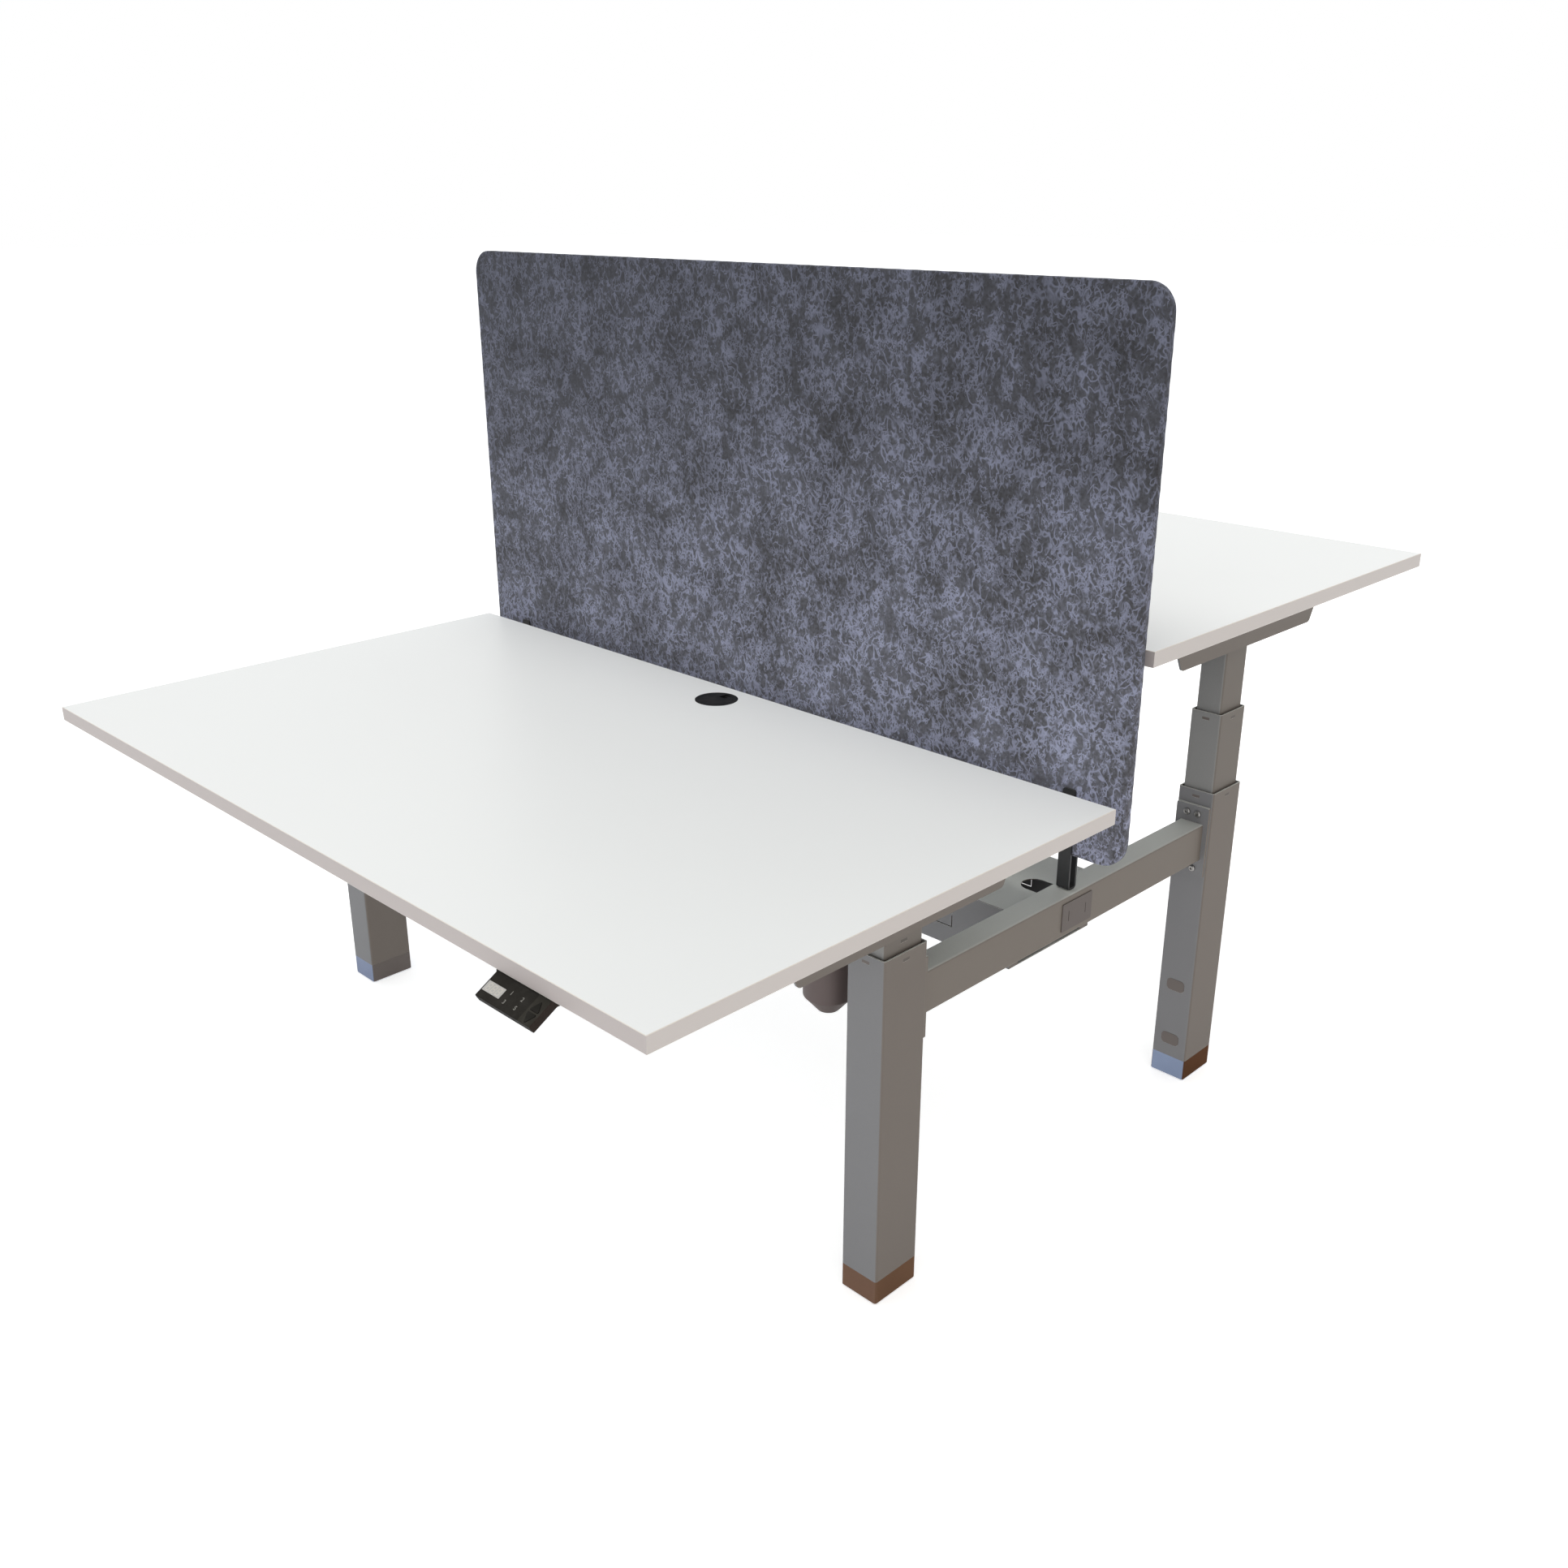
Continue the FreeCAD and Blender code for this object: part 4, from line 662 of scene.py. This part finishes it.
for station in STATIONS:
    for label, (text, u, v) in LEGENDS.items():
        name = "%s_mark_%s" % (station, label)
        data = type_mesh(name, text)
        data.transform(face_matrix(station) @ Matrix.Translation((u, -v, INK)))
        add_piece(name, data, ink, station + "_desk")
print("marks:", len(STATIONS) * len(LEGENDS))

# %% [markdown]
# Behind the window are three digits of seven bars, unlit, just paler than the panel. Each bar is a long hexagon,
# so the digits of a handset are one small mesh.

# %% Digits in the display
WINDOW_U, WINDOW_V, WINDOW_WIDE, WINDOW_HIGH = 0.0023, 0.0120, 0.0300, 0.0128
DIGIT_WIDE, DIGIT_HIGH, BAR, BAR_GAP, LEAN = 0.0050, 0.0086, 0.0013, 0.00015, 0.14
DIGIT_SHARES = (0.22, 0.5, 0.78)
bars = clouded_finish("unlit_bars", tint(192, 188, 180), 150.0, 0.1, Roughness=0.4)


def digit_mesh(name, middles):
    """Seven-bar digits round the given middles, all bars drawn."""
    mesh = bmesh.new()
    half_wide, half_high, half_bar = DIGIT_WIDE / 2, DIGIT_HIGH / 2, BAR / 2
    shoulder = BAR_GAP + half_bar
    level = [(-half_wide, half_wide, y) for y in (-half_high, 0, half_high)]
    upright = [(x, a, b) for x in (-half_wide, half_wide) for a, b in ((-half_high, 0), (0, half_high))]
    for middle in middles:
        for start, end, y in level:
            hexagon = ((start + BAR_GAP, 0), (start + shoulder, half_bar), (end - shoulder, half_bar),
                       (end - BAR_GAP, 0), (end - shoulder, -half_bar), (start + shoulder, -half_bar))
            mesh.faces.new([mesh.verts.new(middle + Vector((x, y + dy, 0))) for x, dy in hexagon])
        for x, start, end in upright:
            hexagon = ((0, start + BAR_GAP), (half_bar, start + shoulder), (half_bar, end - shoulder),
                       (0, end - BAR_GAP), (-half_bar, end - shoulder), (-half_bar, start + shoulder))
            mesh.faces.new([mesh.verts.new(middle + Vector((x + dx, y, 0))) for dx, y in hexagon])
    return mesh_data(name, mesh)


for station in STATIONS:
    middle_v = WINDOW_V + WINDOW_HIGH / 2
    middles = [Vector((WINDOW_U + WINDOW_WIDE * share, -middle_v, INK)) for share in DIGIT_SHARES]
    data = digit_mesh(station + "_digits", middles)
    lean = Matrix(((1, LEAN, 0, LEAN * middle_v), (0, 1, 0, 0), (0, 0, 1, 0), (0, 0, 0, 1)))
    data.transform(face_matrix(station) @ lean)
    add_piece(station + "_digits", data, bars, station + "_desk")
print("digits on both handsets")

# %% [markdown]
# ## Floor, light and camera
#
# The bench is shown on white. The floor is a pale matt sheet that takes a soft shadow, and to the camera, and in
# reflections, it and the sky are white. For all other rays the sky is a soft grey, cool on the left, warm on the
# right, dimmer behind and a little stronger from one diagonal than from the other, and the floor gives back a
# little light of its own, so it is not dark under the desks. One wide lamp hangs high over the bench, so that the
# screen hardly shades the rear desk. A weaker one lights that desk from behind, and a low one lights the columns.

# %% Floor
FLOOR_HALF, FLOOR_DROP = 40, 0.0005
FLOOR_GLOW, FLOOR_SEEN = 0.34, 0.6
WHITE = (1.0, 1.0, 1.0, 1.0)


def seen_directly(tree):
    """1 for rays from the camera, in reflections or through glass, and 0 for all others."""
    rays = place(tree, "LightPath").outputs
    seen = math_node(tree, "MAXIMUM", rays["Is Camera Ray"], rays["Is Glossy Ray"])
    return math_node(tree, "MAXIMUM", seen, rays["Is Transmission Ray"])


floor_mesh = bmesh.new()
bmesh.ops.create_grid(floor_mesh, x_segments=1, y_segments=1, size=FLOOR_HALF)
floor_data = bpy.data.meshes.new("floor")
floor_mesh.to_mesh(floor_data)
floor_mesh.free()
floor = bpy.data.objects.new("floor", floor_data)
floor.location.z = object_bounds()[0].z - FLOOR_DROP
bpy.context.scene.collection.objects.link(floor)
paper, tree, shader = new_finish("white_paper", Base_Color=(0.88, 0.88, 0.88, 1.0), Roughness=0.9,
                                 Emission_Color=WHITE)
tree.links.new(ramp(tree, seen_directly(tree), 0.0, 1.0, FLOOR_GLOW, FLOOR_SEEN),
               shader.inputs["Emission Strength"])
floor_data.materials.append(paper)
print("floor at", round(floor.location.z, 4))

# %% Sky and lamps
SKY_LEFT, SKY_RIGHT, SKY_SPAN = (0.855, 0.91, 0.95, 1.0), (0.80, 0.74, 0.68, 1.0), (-0.4, 0.9)
FRONT_TO_BACK = (-0.6, 0.6, 0.90, 0.58)
ACROSS_DIAGONALS = (-0.35, 0.35, 1.32, 0.68)
world = bpy.data.worlds.new("white_studio")
bpy.context.scene.world = world
world.use_nodes = True
tree = world.node_tree
towards = axes(tree, place(tree, "TexCoord").outputs["Generated"])
side_light = blend_colour(tree, ramp(tree, towards["X"], *SKY_SPAN), SKY_LEFT, SKY_RIGHT)
level = times(tree, ramp(tree, towards["Y"], *FRONT_TO_BACK),
              ramp(tree, times(tree, towards["X"], towards["Y"]), *ACROSS_DIAGONALS))
even_light = shade_by(tree, side_light, level)
tree.links.new(blend_colour(tree, seen_directly(tree), even_light, WHITE), tree.nodes["Background"].inputs["Color"])


def add_lamp(name, place_at, aim, size, power, colour):
    """A soft square lamp that looks at a point."""
    data = bpy.data.lights.new(name, "AREA")
    data.shape, data.size, data.energy, data.color = "SQUARE", size, power, colour
    lamp = bpy.data.objects.new(name, data)
    bpy.context.scene.collection.objects.link(lamp)
    lamp.location = place_at
    lamp.rotation_euler = (Vector(aim) - Vector(place_at)).to_track_quat("-Z", "Y").to_euler()


add_lamp("over_front", (-0.2, -0.6, 4.7), (0, -0.2, 0.6), 3.0, 79, (1.0, 0.972, 0.93))
add_lamp("over_rear", (0.6, 3.0, 3.0), (0.2, 0.45, 0.8), 2.0, 9, (1.0, 0.99, 0.97))
add_lamp("low_fill", (2.6, -2.6, 0.35), (0, 0, 0.6), 1.6, 9, (1.0, 1.0, 1.0))
bpy.context.scene.view_settings.view_transform = "Standard"

# %% [markdown]
# The camera stands where the photographer stood: right of the front desk, a little above the screen's top,
# looking down along the bench's diagonal. Its place was worked out from the straight edges of the desks.

# %% Camera
LENS, SENSOR = 34.76, 36.0
STAND = (1.67637, -1.62825, 1.35144)
DIP, ROLL, TURN = 0.3731, -0.0005, 0.7814
lens = bpy.data.cameras.new("view")
lens.lens, lens.sensor_width = LENS, SENSOR
camera = bpy.data.objects.new("view", lens)
bpy.context.scene.collection.objects.link(camera)
camera.location = STAND
camera.rotation_euler = (math.pi / 2 - DIP, ROLL, TURN)
bpy.context.scene.camera = camera
print("camera at", [round(c, 3) for c in camera.location])
